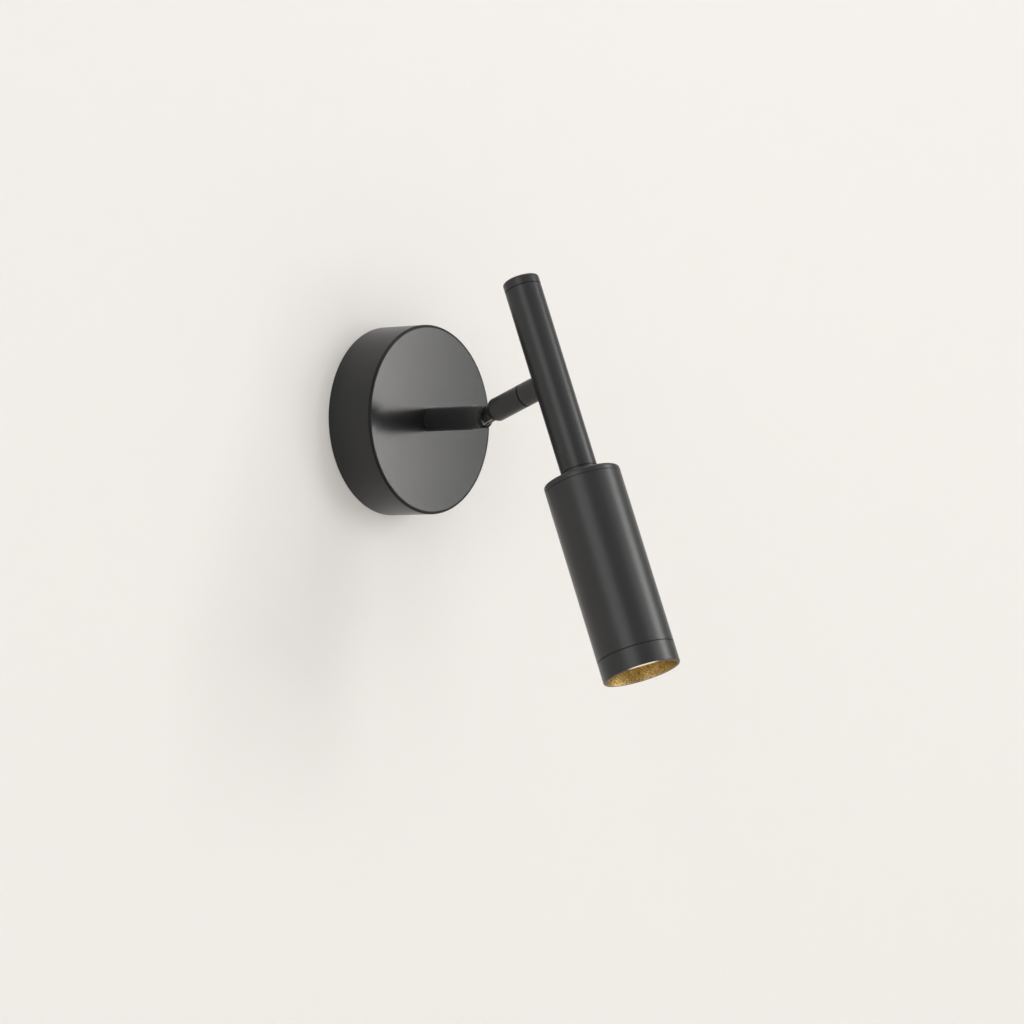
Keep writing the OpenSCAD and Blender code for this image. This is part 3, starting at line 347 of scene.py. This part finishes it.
def worked(bm, steps):
    """The piece after each (operation, tool) has been joined to it or cut from it."""
    blank = settled("blank", bm)
    tools = []
    for operation, tool in steps:
        tools.append(settled("tool", tool))
        cut = blank.modifiers.new("cut", "BOOLEAN")
        cut.operation, cut.solver, cut.object = operation, "EXACT", tools[-1]
    view = bpy.context.evaluated_depsgraph_get()
    done = bmesh.new()
    done.from_mesh(blank.evaluated_get(view).to_mesh())
    for used in [blank] + tools:
        old = used.data
        bpy.data.objects.remove(used)
        bpy.data.meshes.remove(old)
    bmesh.ops.remove_doubles(done, verts=done.verts, dist=MERGED)
    return done


def mark(bm, index, low=-FAR, high=FAR, inner=-FAR, outer=FAR):
    """Gives a material index to the faces between two heights and two distances from z, in mm."""
    for face in bm.faces:
        middle = face.calc_center_median()
        if low * MM < middle.z < high * MM and inner * MM < middle.xy.length < outer * MM:
            face.material_index = index


def fitted(bm, name, place, finishes, body, slot, *nodes, soften=0.0):
    """Puts a made mesh in its place on the lamp, with its finishes, its body and its CAD node."""
    bmesh.ops.transform(bm, matrix=place, verts=bm.verts)
    piece = settled(name, bm)
    for face in piece.data.polygons:
        face.use_smooth = True
    piece.data.set_sharp_from_angle(angle=math.radians(SHARP_ANGLE))
    for made in finishes:
        piece.data.materials.append(made)
    if soften:
        edge = piece.modifiers.new("soft_edges", "BEVEL")
        edge.width, edge.segments, edge.limit_method = soften * MM, 2, "ANGLE"
        edge.angle_limit, edge.use_clamp_overlap = math.radians(SOFT_ANGLE), True
        edge.miter_outer = "MITER_ARC"
    even = piece.modifiers.new("even_shading", "WEIGHTED_NORMAL")
    even.keep_sharp = True
    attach(piece, body)
    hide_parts(*nodes)


def black_coat(name, **changes):
    """Satin black powder coat, with the changes that a piece asks for."""
    values = dict(tone=(0.0152, 0.0155, 0.0163), other_tone=(0.0210, 0.0213, 0.0222),
                  worn_tone=(0.085, 0.083, 0.082), rough=(0.30, 0.42), fine_scale=2600.0, cloud_scale=45.0,
                  contrast=1.5, bump=0.22, bump_depth=0.00003, wear=0.35, dusty=0.05, Specular_IOR_Level=0.36)
    values.update(changes)
    return finish(name, **values)


canopy_coat = black_coat("canopy_coat", tone=(0.0108, 0.0111, 0.0118), other_tone=(0.0160, 0.0163, 0.0171),
                         rough=(0.26, 0.36), stretch=(1, 1, 0.16), cloud_scale=90.0)
# Painted shade: a darker, duller coat for the round front edges, chamfers and grooves where pieces meet,
# standing in for the shade that falls there.
painted_shade_coat = black_coat("painted_shade_coat", tone=(0.0085, 0.0088, 0.0094), other_tone=(0.012, 0.0123, 0.013),
                       rough=(0.36, 0.48), Specular_IOR_Level=0.12, wear=0.1)
face_coat = black_coat("face_coat", tone=(0.0085, 0.0087, 0.0092), other_tone=(0.013, 0.0132, 0.0138),
                       rough=(0.15, 0.22), stretch=(1, 1, 0.16), cloud_scale=90.0, Specular_IOR_Level=0.66)
canopy_floor, canopy_bore = CANOPY_DEPTH - CANOPY_WALL, CANOPY_R - CANOPY_WALL
face_r = CANOPY_R - CANOPY_ROUND - PAINTED_SHADE_BAND
canopy = turned([(ARM_HOLE_R, CANOPY_DEPTH, 0), (face_r, CANOPY_DEPTH, 0),
                 (CANOPY_R, CANOPY_DEPTH, CANOPY_ROUND), (CANOPY_R, 0, 0.2), (canopy_bore, 0, 0.2),
                 (canopy_bore, canopy_floor, CANOPY_ROUND), (BOSS_R, canopy_floor, 0.3),
                 (BOSS_R, canopy_floor - BOSS_H, 0.2), (ARM_HOLE_R, canopy_floor - BOSS_H, 0)])
posts, holes = [], []
for (x, y), height, post_r, hole_r, deep in POSTS:
    at = Matrix.Translation((x * MM, y * MM, 0))
    post_end = canopy_floor - height
    posts.append(("UNION", rod(post_r, post_end, canopy_floor + POST_ROOT, at)))
    holes.append(("DIFFERENCE", rod(hole_r, post_end - HOLE_PAST, post_end + deep, at)))
across = Matrix.Translation((0, 0, SET_SCREW_OUT * MM)) @ out_of_wall
holes.append(("DIFFERENCE", rod(SET_SCREW_HOLE_R, -CANOPY_R - RIM_PAST, CANOPY_R + RIM_PAST, across)))
canopy = worked(canopy, posts + holes)
# Painted shade on the canopy's front round and on a thin ring of the face next to it.
mark(canopy, 1, low=CANOPY_DEPTH - CANOPY_ROUND, inner=face_r)
mark(canopy, 2, low=CANOPY_DEPTH - 0.001, inner=ARM_HOLE_R, outer=face_r)
fitted(canopy, "canopy_drum", out_of_wall, [canopy_coat, painted_shade_coat, face_coat], "base", "black_paint", "canopy")

# ---------------------------------------------------------------------------------------------
# Canopy set screws: two socket screws of blackened steel in the canopy's rim, one at the top and
# one at the bottom. They bear on the bracket's tabs.
black_oxide = finish("black_oxide", (0.045, 0.045, 0.048), (0.075, 0.074, 0.075), (0.30, 0.29, 0.28),
                     rough=(0.30, 0.42), metal=0.9, fine_scale=1800.0, cloud_scale=300.0, bump=0.1, dusty=0.04)
give(black_oxide, "canopy_set_screws")

# ---------------------------------------------------------------------------------------------
# Supply side: a moulded white terminal block with brass barrels and plated screws, and the driver
# in its white case. Plated screws hold both on the canopy's posts.
white_moulding = finish("white_moulding", (0.80, 0.80, 0.775), (0.85, 0.85, 0.83), (0.88, 0.88, 0.86),
                        rough=(0.42, 0.54), fine_scale=1500.0, cloud_scale=50.0, bump=0.12, wear=0.2,
                        dusty=0.12)
turned_brass = finish("turned_brass", (0.66, 0.47, 0.20), (0.76, 0.57, 0.28), (0.86, 0.70, 0.40),
                      rough=(0.24, 0.38), metal=1.0, fine_scale=1600.0, cloud_scale=240.0, contrast=1.4,
                      bump=0.12, dusty=0.03)
give(white_moulding, "terminal_block", "driver_case")
give(turned_brass, "terminal_inserts")
give(zinc_plate, "terminal_screws", "terminal_fixing_screw", "driver_screws")

# ---------------------------------------------------------------------------------------------
# Earth point and leads: a brass screw and washer on the canopy's long post, and leads in smooth
# PVC sleeves of brown, green and red.


def lead_sleeve(name, tone):
    """Smooth coloured PVC, a little paler where it is clouded or rubbed."""
    return finish(name, tone, tuple(c * 1.25 for c in tone), tuple(c * 1.4 for c in tone),
                  rough=(0.30, 0.42), fine_scale=2200.0, cloud_scale=260.0, bump=0.08, wear=0.0, dusty=0.08)


give(turned_brass, "earth_screw", "earth_washer")
give(lead_sleeve("brown_sleeve", (0.20, 0.095, 0.045)), "mains_leads")
give(lead_sleeve("green_sleeve", (0.30, 0.45, 0.07)), "earth_lead")
give(lead_sleeve("red_sleeve", (0.36, 0.035, 0.028)), "base_leads", "arm_leads", "head_leads")

# ---------------------------------------------------------------------------------------------
# Arm fixing: a hollow thread of zinc plated steel goes through the canopy and takes the first stem.
# A toothed washer and a nut hold it inside, and the leads run through it.
give(zinc_plate, "arm_nipple", "arm_star_washer", "arm_lock_nut")

# ---------------------------------------------------------------------------------------------
# First stem: a turned aluminium bar screwed on the hollow thread, coated black. Its outer end is
# chamfered and milled to a fork, and a cross hole takes the pivot screw from the right.
PLAY = 0.04  # gap between pieces that meet
STEM_R, PIVOT_OUT, FORK_NOSE, FORK_CHAMFER_L, FORK_END_R = 6.25, 63.1, 2.7, 1.9, 5.3
THREAD_END, BASE_WIRE_R, BASE_WIRE_END = 41, 2.6, 59
SLOT_HALF, SLOT_FLOOR, SLOT_TOOL_END = 2.7, 5.0, 70
PIVOT_HOLE_R, PIVOT_HOLE_START, SCREW_SEAT_R, SCREW_SEAT_AT = 1.55, -4.9, 2.55, 3.95
OUTSIDE = 8  # past the stem's skin
STEM_STEPS, STEM_SOFT = 128, 0.12
stem_coat = black_coat("stem_coat", tone=(0.0128, 0.0131, 0.0139), other_tone=(0.019, 0.0193, 0.0202),
                       rough=(0.24, 0.34), fine_scale=3000.0, bump=0.14)
# The fork's flat faces: a darker coat whose edges are worn bright, pushed near white as painted glints.
joint_coat_painted_glints = black_coat("joint_coat_painted_glints", tone=(0.009, 0.0092, 0.0098), other_tone=(0.014, 0.0143, 0.015),
                        worn_tone=(0.62, 0.61, 0.58), rough=(0.24, 0.36), wear=1.0, wear_radius=0.0005)
fork_end, slot_floor_at = PIVOT_OUT + FORK_NOSE, PIVOT_OUT - SLOT_FLOOR
sideways = Matrix.Rotation(math.radians(90), 4, "Y")
at_pivot = Matrix.Translation((0, 0, PIVOT_OUT * MM)) @ sideways
first_stem = turned([(0, fork_end, 0), (FORK_END_R, fork_end, 0.3), (STEM_R, fork_end - FORK_CHAMFER_L, 0.3),
                     (STEM_R, CANOPY_DEPTH + PLAY, 0.2), (ARM_HOLE_R, CANOPY_DEPTH + PLAY, 0),
                     (ARM_HOLE_R, THREAD_END, 0), (BASE_WIRE_R, THREAD_END, 0),
                     (BASE_WIRE_R, BASE_WIRE_END, 0), (0, BASE_WIRE_END, 0)], steps=STEM_STEPS, closed=False)
first_stem = worked(first_stem, [
    ("DIFFERENCE", block((-SLOT_HALF, -OUTSIDE, slot_floor_at), (SLOT_HALF, OUTSIDE, SLOT_TOOL_END))),
    ("DIFFERENCE", rod(PIVOT_HOLE_R, PIVOT_HOLE_START, OUTSIDE, at_pivot)),
    ("DIFFERENCE", rod(SCREW_SEAT_R, SCREW_SEAT_AT, OUTSIDE, at_pivot))])
# Painted glints: the fork's flat faces get the coat whose edges show near white.
for face in first_stem.faces:
    in_fork = face.calc_center_median().z > (slot_floor_at - 0.1) * MM
    if in_fork and (abs(face.normal.x) > 0.99 or abs(face.normal.z) > 0.99):
        face.material_index = 1
# Painted shade on the fork's end chamfer.
mark(first_stem, 2, low=fork_end - FORK_CHAMFER_L, inner=FORK_END_R - 0.2)
fitted(first_stem, "first_stem", out_of_wall, [stem_coat, joint_coat_painted_glints, painted_shade_coat], "base", "black_paint",
       "base_stem", soften=STEM_SOFT)

# ---------------------------------------------------------------------------------------------
# Knuckle hardware: a socket-head pivot screw of blackened steel through the fork and the tongue,
# and a black nylon washer on each side of the tongue for the friction.
black_nylon = finish("black_nylon", (0.030, 0.030, 0.031), (0.042, 0.042, 0.043), (0.07, 0.07, 0.07),
                     rough=(0.42, 0.55), fine_scale=1500.0, cloud_scale=200.0, bump=0.1, wear=0.1, dusty=0.03)
give(black_oxide, "pivot_screw")
give(black_nylon, "friction_washers")

# ---------------------------------------------------------------------------------------------
# Second stem: the same bar with a slotted tongue that turns in the fork, a chamfered shoulder, and
# a threaded cup at its other end for the swivel. The tongue's edges are worn bright, pushed near white as
# painted glints.
TILT = 20.9
TONGUE_HALF, TONGUE_R, TONGUE_NECK, TONGUE_ROOT = 2.1, 4.6, 4.2, 2.5
TONGUE_SLOT_HALF, TONGUE_SLOT_START, TONGUE_SLOT_REACH = 0.95, -5.6, 6.3
PIVOT_HOLE_REACH, BARE_BEYOND = 4, 0.05
SHOULDER, SHOULDER_R, CHAMFER_L = 6.1, 4.5, 3.5
SEAM_AT, SEAM_CHAMFER = 29.0, 0.4
ARM_WIRE_R, CUP_R, CUP_FLOOR = 2.2, 5.05, 18
# The tongue: blackened metal whose edges are worn bright, pushed near white as painted glints.
tongue_metal_painted_glints = finish("tongue_metal_painted_glints", (0.011, 0.011, 0.0115), (0.085, 0.083, 0.08), (0.82, 0.81, 0.78),
                      rough=(0.22, 0.40), metal=0.7, fine_scale=2600.0, cloud_scale=420.0, contrast=1.6,
                      bump=0.2, wear=1.0, wear_radius=0.0009, dusty=0.0)
along_arm = Matrix.Translation((0, -PIVOT_OUT * MM, 0)) @ Matrix.Rotation(math.radians(90 - TILT), 4, "X")
second_stem = turned([(ARM_WIRE_R, SHOULDER, 0), (SHOULDER_R, SHOULDER, 0.2),
                      (STEM_R, SHOULDER + CHAMFER_L, 0.3), (STEM_R, SEAM_AT, SEAM_CHAMFER),
                      (CUP_R, SEAM_AT, 0), (CUP_R, CUP_FLOOR, 0), (ARM_WIRE_R, CUP_FLOOR, 0)], steps=STEM_STEPS)
second_stem = worked(second_stem, [
    ("UNION", rod(TONGUE_R, -TONGUE_HALF, TONGUE_HALF, sideways, steps=96)),
    ("UNION", block((-TONGUE_HALF, -TONGUE_NECK, 0), (TONGUE_HALF, TONGUE_NECK, SHOULDER + TONGUE_ROOT))),
    ("DIFFERENCE", rod(ARM_WIRE_R, SHOULDER - 1, CUP_FLOOR + 0.5)),
    ("DIFFERENCE", rod(PIVOT_HOLE_R, -PIVOT_HOLE_REACH, PIVOT_HOLE_REACH, sideways)),
    ("DIFFERENCE", block((-TONGUE_SLOT_HALF, -TONGUE_SLOT_REACH, TONGUE_SLOT_START),
                         (TONGUE_SLOT_HALF, TONGUE_SLOT_REACH, SHOULDER)))])
mark(second_stem, 1, high=SHOULDER + BARE_BEYOND)
# Painted shade on the chamfer at the seam.
mark(second_stem, 2, low=SEAM_AT - SEAM_CHAMFER, inner=STEM_R - SEAM_CHAMFER)
fitted(second_stem, "second_stem", along_arm, [stem_coat, tongue_metal_painted_glints, painted_shade_coat], "arm", "black_paint",
       "arm_stem", soften=STEM_SOFT)

# ---------------------------------------------------------------------------------------------
# Swivel: a hollow brass spindle turns in a brass bush that closes the cup, held by a plated spring
# washer, and a small pin stops it before it has gone all the way round.
give(turned_brass, "swivel_bush", "swivel_spindle")
give(zinc_plate, "swivel_spring_washer", "swivel_stop_pin")

# ---------------------------------------------------------------------------------------------
# Swivel sleeve: a short spacer of turned aluminium between the seam and the tube, coated black,
# with its far end cut to a saddle.
ARM_L, TUBE_R, SLEEVE_START, SPINDLE_WAY_R = 48, 9.6, 29.2, 3.55
SADDLE_TOOL_L = 40
arm_coat = black_coat("arm_coat", tone=(0.019, 0.0192, 0.0198), other_tone=(0.026, 0.0262, 0.0269),
                      rough=(0.32, 0.44))
upright_turn = Matrix.Rotation(math.radians(-90), 4, "X")
up_tube = along_arm @ Matrix.Translation((0, 0, ARM_L * MM)) @ upright_turn
tube_across = Matrix.Translation((0, 0, ARM_L * MM)) @ upright_turn
sleeve = turned([(SPINDLE_WAY_R, SLEEVE_START, 0), (STEM_R, SLEEVE_START, SEAM_CHAMFER), (STEM_R, ARM_L, 0),
                 (SPINDLE_WAY_R, ARM_L, 0)], steps=STEM_STEPS)
sleeve = worked(sleeve, [("DIFFERENCE", rod(TUBE_R + PLAY, -SADDLE_TOOL_L / 2, SADDLE_TOOL_L / 2, tube_across,
                                        steps=192))])
# Painted shade on the chamfer at the seam.
mark(sleeve, 1, high=SLEEVE_START + SEAM_CHAMFER, inner=STEM_R - SEAM_CHAMFER)
fitted(sleeve, "swivel_spacer", along_arm, [arm_coat, painted_shade_coat], "head", "black_paint", "swivel_sleeve")

# ---------------------------------------------------------------------------------------------
# Tube: drawn aluminium, 19 mm across, coated black, with one hole for the spindle and its lower end
# turned down for the head's neck. The brass slug inside it takes the spindle's thread.
TUBE_INNER_R, TUBE_BOTTOM, CAP_SEAT, NECK_TOP, SPIGOT_R = 8.1, -65.9, 51.5, -49.5, 8.85
SPINDLE_DRILL_L = 12
tube_coat = black_coat("tube_coat", rough=(0.28, 0.38), stretch=(1, 1, 0.5))
tube = turned([(TUBE_INNER_R, TUBE_BOTTOM, 0.1), (SPIGOT_R, TUBE_BOTTOM, 0.2), (SPIGOT_R, NECK_TOP, 0),
               (TUBE_R, NECK_TOP, 0.08), (TUBE_R, CAP_SEAT, 0.08), (TUBE_INNER_R, CAP_SEAT, 0)])
tube = worked(tube, [("DIFFERENCE", rod(SPINDLE_WAY_R, 0, SPINDLE_DRILL_L, upright_turn))])
fitted(tube, "slim_tube", up_tube, [tube_coat], "head", "black_paint", "tube")
give(turned_brass, "tube_insert")

# ---------------------------------------------------------------------------------------------
# Tube cap: a turned plug pressed into the tube's top, coated black, with a rounded rim and a fine
# groove at its base that makes the seam line.
TUBE_TOP, TUBE_CAP_ROUND, TUBE_PLUG_R, TUBE_PLUG_L = 56.7, 1.1, 8.06, 7
GROOVE_W, GROOVE_D = 0.4, 0.35
# At the grooves, the finish that BESIDE spreads is the painted shade coat.
BESIDE = 0.06  # how far round a groove its dark finish reaches
groove_r, cap_start = TUBE_R - GROOVE_D, CAP_SEAT + PLAY
tube_cap = turned([(0, TUBE_TOP, 0), (TUBE_R, TUBE_TOP, TUBE_CAP_ROUND), (TUBE_R, CAP_SEAT + GROOVE_W, 0.06),
                   (groove_r, CAP_SEAT + GROOVE_W, 0), (groove_r, cap_start, 0), (TUBE_PLUG_R, cap_start, 0),
                   (TUBE_PLUG_R, CAP_SEAT - TUBE_PLUG_L, 0.3), (0, CAP_SEAT - TUBE_PLUG_L, 0)], closed=False)
# Painted shade in the groove that makes the seam line.
mark(tube_cap, 1, low=CAP_SEAT, high=CAP_SEAT + GROOVE_W + BESIDE, inner=groove_r - BESIDE)
fitted(tube_cap, "tube_top_cap", up_tube, [tube_coat, painted_shade_coat], "head", "black_paint", "tube_cap")

# ---------------------------------------------------------------------------------------------
# Head cap: turned aluminium with a rounded edge and a short neck for the tube, coated black. Its
# plug screws into the housing, and its collar grips the tube's end with one blackened set screw.
HEAD_R, HEAD_TOP, CAP_SEAM, HEAD_CAP_ROUND, BORE_R = 20.1, -53.5, -56.6, 1.2, 18.1
CAP_PLUG_WALL, CAP_PLUG_L = 2, 5
COLLAR_R, COLLAR_END, COLLAR_SCREW_AT = 12.6, -67.34, -63.8
COLLAR_HOLE_R, COLLAR_HOLE_START, COLLAR_HOLE_END = 1.55, 8, 14
head_coat = black_coat("head_coat", rough=(0.28, 0.38), stretch=(1, 1, 0.6))
cap_top, socket_r, socket_floor = NECK_TOP - PLAY, SPIGOT_R + 0.05, TUBE_BOTTOM - PLAY
plug_r, plug_end = BORE_R - PLAY, CAP_SEAM - CAP_PLUG_L
head_cap = turned([(socket_r, cap_top, 0), (groove_r, cap_top, 0), (groove_r, NECK_TOP - GROOVE_W, 0),
                   (TUBE_R, NECK_TOP - GROOVE_W, 0.06), (TUBE_R, HEAD_TOP, 0),
                   (HEAD_R, HEAD_TOP, HEAD_CAP_ROUND), (HEAD_R, CAP_SEAM, 0.12), (plug_r, CAP_SEAM, 0),
                   (plug_r, plug_end, 0.2), (plug_r - CAP_PLUG_WALL, plug_end, 0.1),
                   (plug_r - CAP_PLUG_WALL, CAP_SEAM, 0), (COLLAR_R, CAP_SEAM, 0), (COLLAR_R, COLLAR_END, 0.3),
                   (TUBE_INNER_R + PLAY, COLLAR_END, 0.1), (TUBE_INNER_R + PLAY, socket_floor, 0),
                   (socket_r, socket_floor, 0)])
screw_way = Matrix.Translation((0, 0, COLLAR_SCREW_AT * MM)) @ out_of_wall
head_cap = worked(head_cap, [("DIFFERENCE", rod(COLLAR_HOLE_R, COLLAR_HOLE_START, COLLAR_HOLE_END, screw_way))])
# Painted shade in the neck's groove.
mark(head_cap, 1, low=NECK_TOP - GROOVE_W - BESIDE, high=NECK_TOP, inner=groove_r - BESIDE)
fitted(head_cap, "head_top_cap", up_tube, [head_coat, painted_shade_coat], "head", "black_paint", "head_cap")
give(black_oxide, "head_cap_set_screw")

# ---------------------------------------------------------------------------------------------
# Head housing: an aluminium cylinder of 40 mm, turned from tube and coated black, with a ledge
# inside that the heat sink is clamped against.
BEZEL_TOP, LEDGE_R, LEDGE_AT, LEDGE_END = -148.8, 17.25, -99.74, -69.5
HOUSING_CHAMFER = 0.25
housing = turned([(BORE_R, BEZEL_TOP, 0), (HEAD_R, BEZEL_TOP, 0.1), (HEAD_R, CAP_SEAM - PLAY, HOUSING_CHAMFER),
                  (BORE_R, CAP_SEAM - PLAY, 0), (BORE_R, LEDGE_END, 0), (LEDGE_R, LEDGE_END, 0),
                  (LEDGE_R, LEDGE_AT, 0), (BORE_R, LEDGE_AT, 0)])
# Painted shade on the chamfer at the seam with the cap.
mark(housing, 1, low=CAP_SEAM - HOUSING_CHAMFER - BESIDE, inner=HEAD_R - HOUSING_CHAMFER)
fitted(housing, "head_cylinder", up_tube, [head_coat, painted_shade_coat], "head", "black_paint", "head_housing")

# ---------------------------------------------------------------------------------------------
# Light source: a finned aluminium heat sink, a white-faced board with its yellow emitter and two
# plated screws, a bright reflector, and a rubber ring under the lens.
raw_aluminium = finish("raw_aluminium", (0.52, 0.52, 0.53), (0.64, 0.64, 0.65), (0.78, 0.78, 0.78),
                       rough=(0.30, 0.48), metal=1.0, fine_scale=1300.0, cloud_scale=120.0, contrast=1.4,
                       stretch=(1, 1, 0.2), dusty=0.0)
board_mask = finish("board_mask", (0.76, 0.76, 0.74), (0.82, 0.82, 0.80), (0.85, 0.84, 0.80),
                    rough=(0.30, 0.40), fine_scale=2500.0, cloud_scale=150.0, bump=0.06, wear=0.3, dusty=0.0)
emitter_gel = finish("emitter_gel", (0.78, 0.58, 0.12), (0.86, 0.70, 0.22), (0.9, 0.78, 0.4),
                     rough=(0.20, 0.30), fine_scale=2500.0, cloud_scale=500.0, bump=0.08, wear=0.0, dusty=0.0,
                     Emission_Color=(1, 0.72, 0.38, 1), Emission_Strength=2.0)
bright_reflector = finish("bright_reflector", (0.80, 0.80, 0.81), (0.88, 0.88, 0.89), (0.9, 0.9, 0.9),
                          rough=(0.05, 0.14), metal=1.0, fine_scale=900.0, cloud_scale=200.0, bump=0.05,
                          wear=0.1, dusty=0.0)
black_rubber = finish("black_rubber", (0.028, 0.028, 0.028), (0.040, 0.040, 0.040), (0.06, 0.06, 0.06),
                      rough=(0.62, 0.78), fine_scale=1500.0, cloud_scale=200.0, wear=0.0, dusty=0.0)
give(raw_aluminium, "heat_sink")
give(board_mask, "led_board")
give(zinc_plate, "board_screws")
give(emitter_gel, "led_emitter")
give(bright_reflector, "reflector")
give(black_rubber, "lens_gasket")

# ---------------------------------------------------------------------------------------------
# Lens: a clear disc of 2 mm with a finely frosted back, clamped above the baffle's neck. It is lit
# warm from behind.
LENS_BOTTOM, LENS_T, LENS_R = -128.4, 2.0, 17.94
frosted_lens = finish("frosted_lens", (0.90, 0.86, 0.78), (0.95, 0.92, 0.86), (0.95, 0.93, 0.9),
                      rough=(0.22, 0.34), fine_scale=1100.0, cloud_scale=120.0, contrast=1.8, bump=0.3,
                      wear=0.0, dusty=0.0, Transmission_Weight=0.35, IOR=1.49,
                      Emission_Color=(1, 0.80, 0.52, 1), Emission_Strength=2.0)
lens = turned([(0, LENS_BOTTOM, 0), (LENS_R, LENS_BOTTOM, 0.2), (LENS_R, LENS_BOTTOM + LENS_T, 0.2),
               (0, LENS_BOTTOM + LENS_T, 0)], closed=False)
fitted(lens, "lens_disc", up_tube, [frosted_lens], "head", "clear_lens", "lens")

# ---------------------------------------------------------------------------------------------
# Baffle: turned aluminium, gold anodised with a sandy grain. Its neck screws into the housing and
# clamps the lens, and its dark rim, which carries the bezel, has a cream painted highlight on one side.
MOUTH, BAFFLE_TOP, BEZEL_WALL = -160.0, -129.68, 0.9
THROAT_R, NECK_R, MOUTH_R = 16.36, 17.21, 18.5
RIM_T, RIM_R, RIM_BEVEL = 0.45, 19.95, 0.3
# The rim's cream streak is a painted highlight, laid on the side of the rim that faces this way.
PAINTED_HIGHLIGHT_SIDE, PAINTED_HIGHLIGHT_FROM, PAINTED_HIGHLIGHT_TO = Vector((-0.766, -0.6006, 0.2294)), 0.90, 0.96
PAINTED_HIGHLIGHT_TONE = (1.0, 0.92, 0.70)
sandy_gold = finish("sandy_gold", (0.165, 0.11, 0.032), (0.63, 0.465, 0.175), (0.80, 0.72, 0.54),
                    rough=(0.26, 0.46), metal=1.0, fine_scale=1700.0, cloud_scale=1250.0, contrast=3.2,
                    bump=0.6, bump_depth=0.0001, wear=0.3, dusty=0.0, Coat_Weight=1.0, Coat_Roughness=0.14)
rim_with_painted_highlight = finish("rim_with_painted_highlight", (0.085, 0.06, 0.032), (0.13, 0.10, 0.06), (0.20, 0.16, 0.11),
                  rough=(0.42, 0.58), metal=0.6, fine_scale=1500.0, cloud_scale=200.0, bump=0.12, wear=0.3,
                  dusty=0.0)
rim_tree = rim_with_painted_highlight.node_tree
rim_tone = rim_tree.nodes["Principled BSDF"].inputs["Base Color"]
rim_place = wire(rim_tree, "ShaderNodeTexCoord", {})
towards = wire(rim_tree, "ShaderNodeVectorMath", {0: rim_place.outputs["Object"], 1: PAINTED_HIGHLIGHT_SIDE},
               operation="DOT_PRODUCT")
mouth_middle = (up_tube @ Vector((0, 0, MOUTH * MM))).dot(PAINTED_HIGHLIGHT_SIDE)
# Painted highlight: the rim turns cream in a band at its outer edge on that side.
wear_and_painted_highlight = rise(rim_tree, towards.outputs["Value"], mouth_middle + PAINTED_HIGHLIGHT_FROM * RIM_R * MM,
              mouth_middle + PAINTED_HIGHLIGHT_TO * RIM_R * MM)
rim_tree.links.new(overlaid(rim_tree, wear_and_painted_highlight, rim_tone.links[0].from_socket, PAINTED_HIGHLIGHT_TONE), rim_tone)
baffle_seat, rim_top, sleeve_r = BEZEL_TOP - PLAY, MOUTH + RIM_T, HEAD_R - BEZEL_WALL - PLAY
baffle = turned([(THROAT_R, BAFFLE_TOP, 0.1), (plug_r, BAFFLE_TOP, 0), (plug_r, baffle_seat, 0),
                 (sleeve_r, baffle_seat, 0), (sleeve_r, rim_top, 0), (RIM_R, rim_top, 0.05),
                 (RIM_R - RIM_BEVEL, MOUTH, 0.05), (MOUTH_R, MOUTH, 0.15), (NECK_R, baffle_seat, 0)])
mark(baffle, 1, high=rim_top + BESIDE, inner=MOUTH_R + 0.02)
fitted(baffle, "gold_baffle", up_tube, [sandy_gold, rim_with_painted_highlight], "head", "gold", "baffle")

# ---------------------------------------------------------------------------------------------
# Bezel: a thin turned ring, coated black, pressed on the baffle round the mouth, with a fine groove
# at its top that makes the seam line.
bezel_bottom, bezel_bore, bezel_groove_r = rim_top + PLAY, HEAD_R - BEZEL_WALL, HEAD_R - GROOVE_D
bezel = turned([(bezel_bore, bezel_bottom, 0.1), (HEAD_R, bezel_bottom, 0.25),
                (HEAD_R, baffle_seat - GROOVE_W, 0.06), (bezel_groove_r, baffle_seat - GROOVE_W, 0),
                (bezel_groove_r, baffle_seat, 0), (bezel_bore, baffle_seat, 0)])
# Painted shade in the groove that makes the seam line.
mark(bezel, 1, low=baffle_seat - GROOVE_W - BESIDE, inner=bezel_groove_r - BESIDE)
fitted(bezel, "mouth_bezel", up_tube, [head_coat, painted_shade_coat], "head", "black_paint", "bezel")
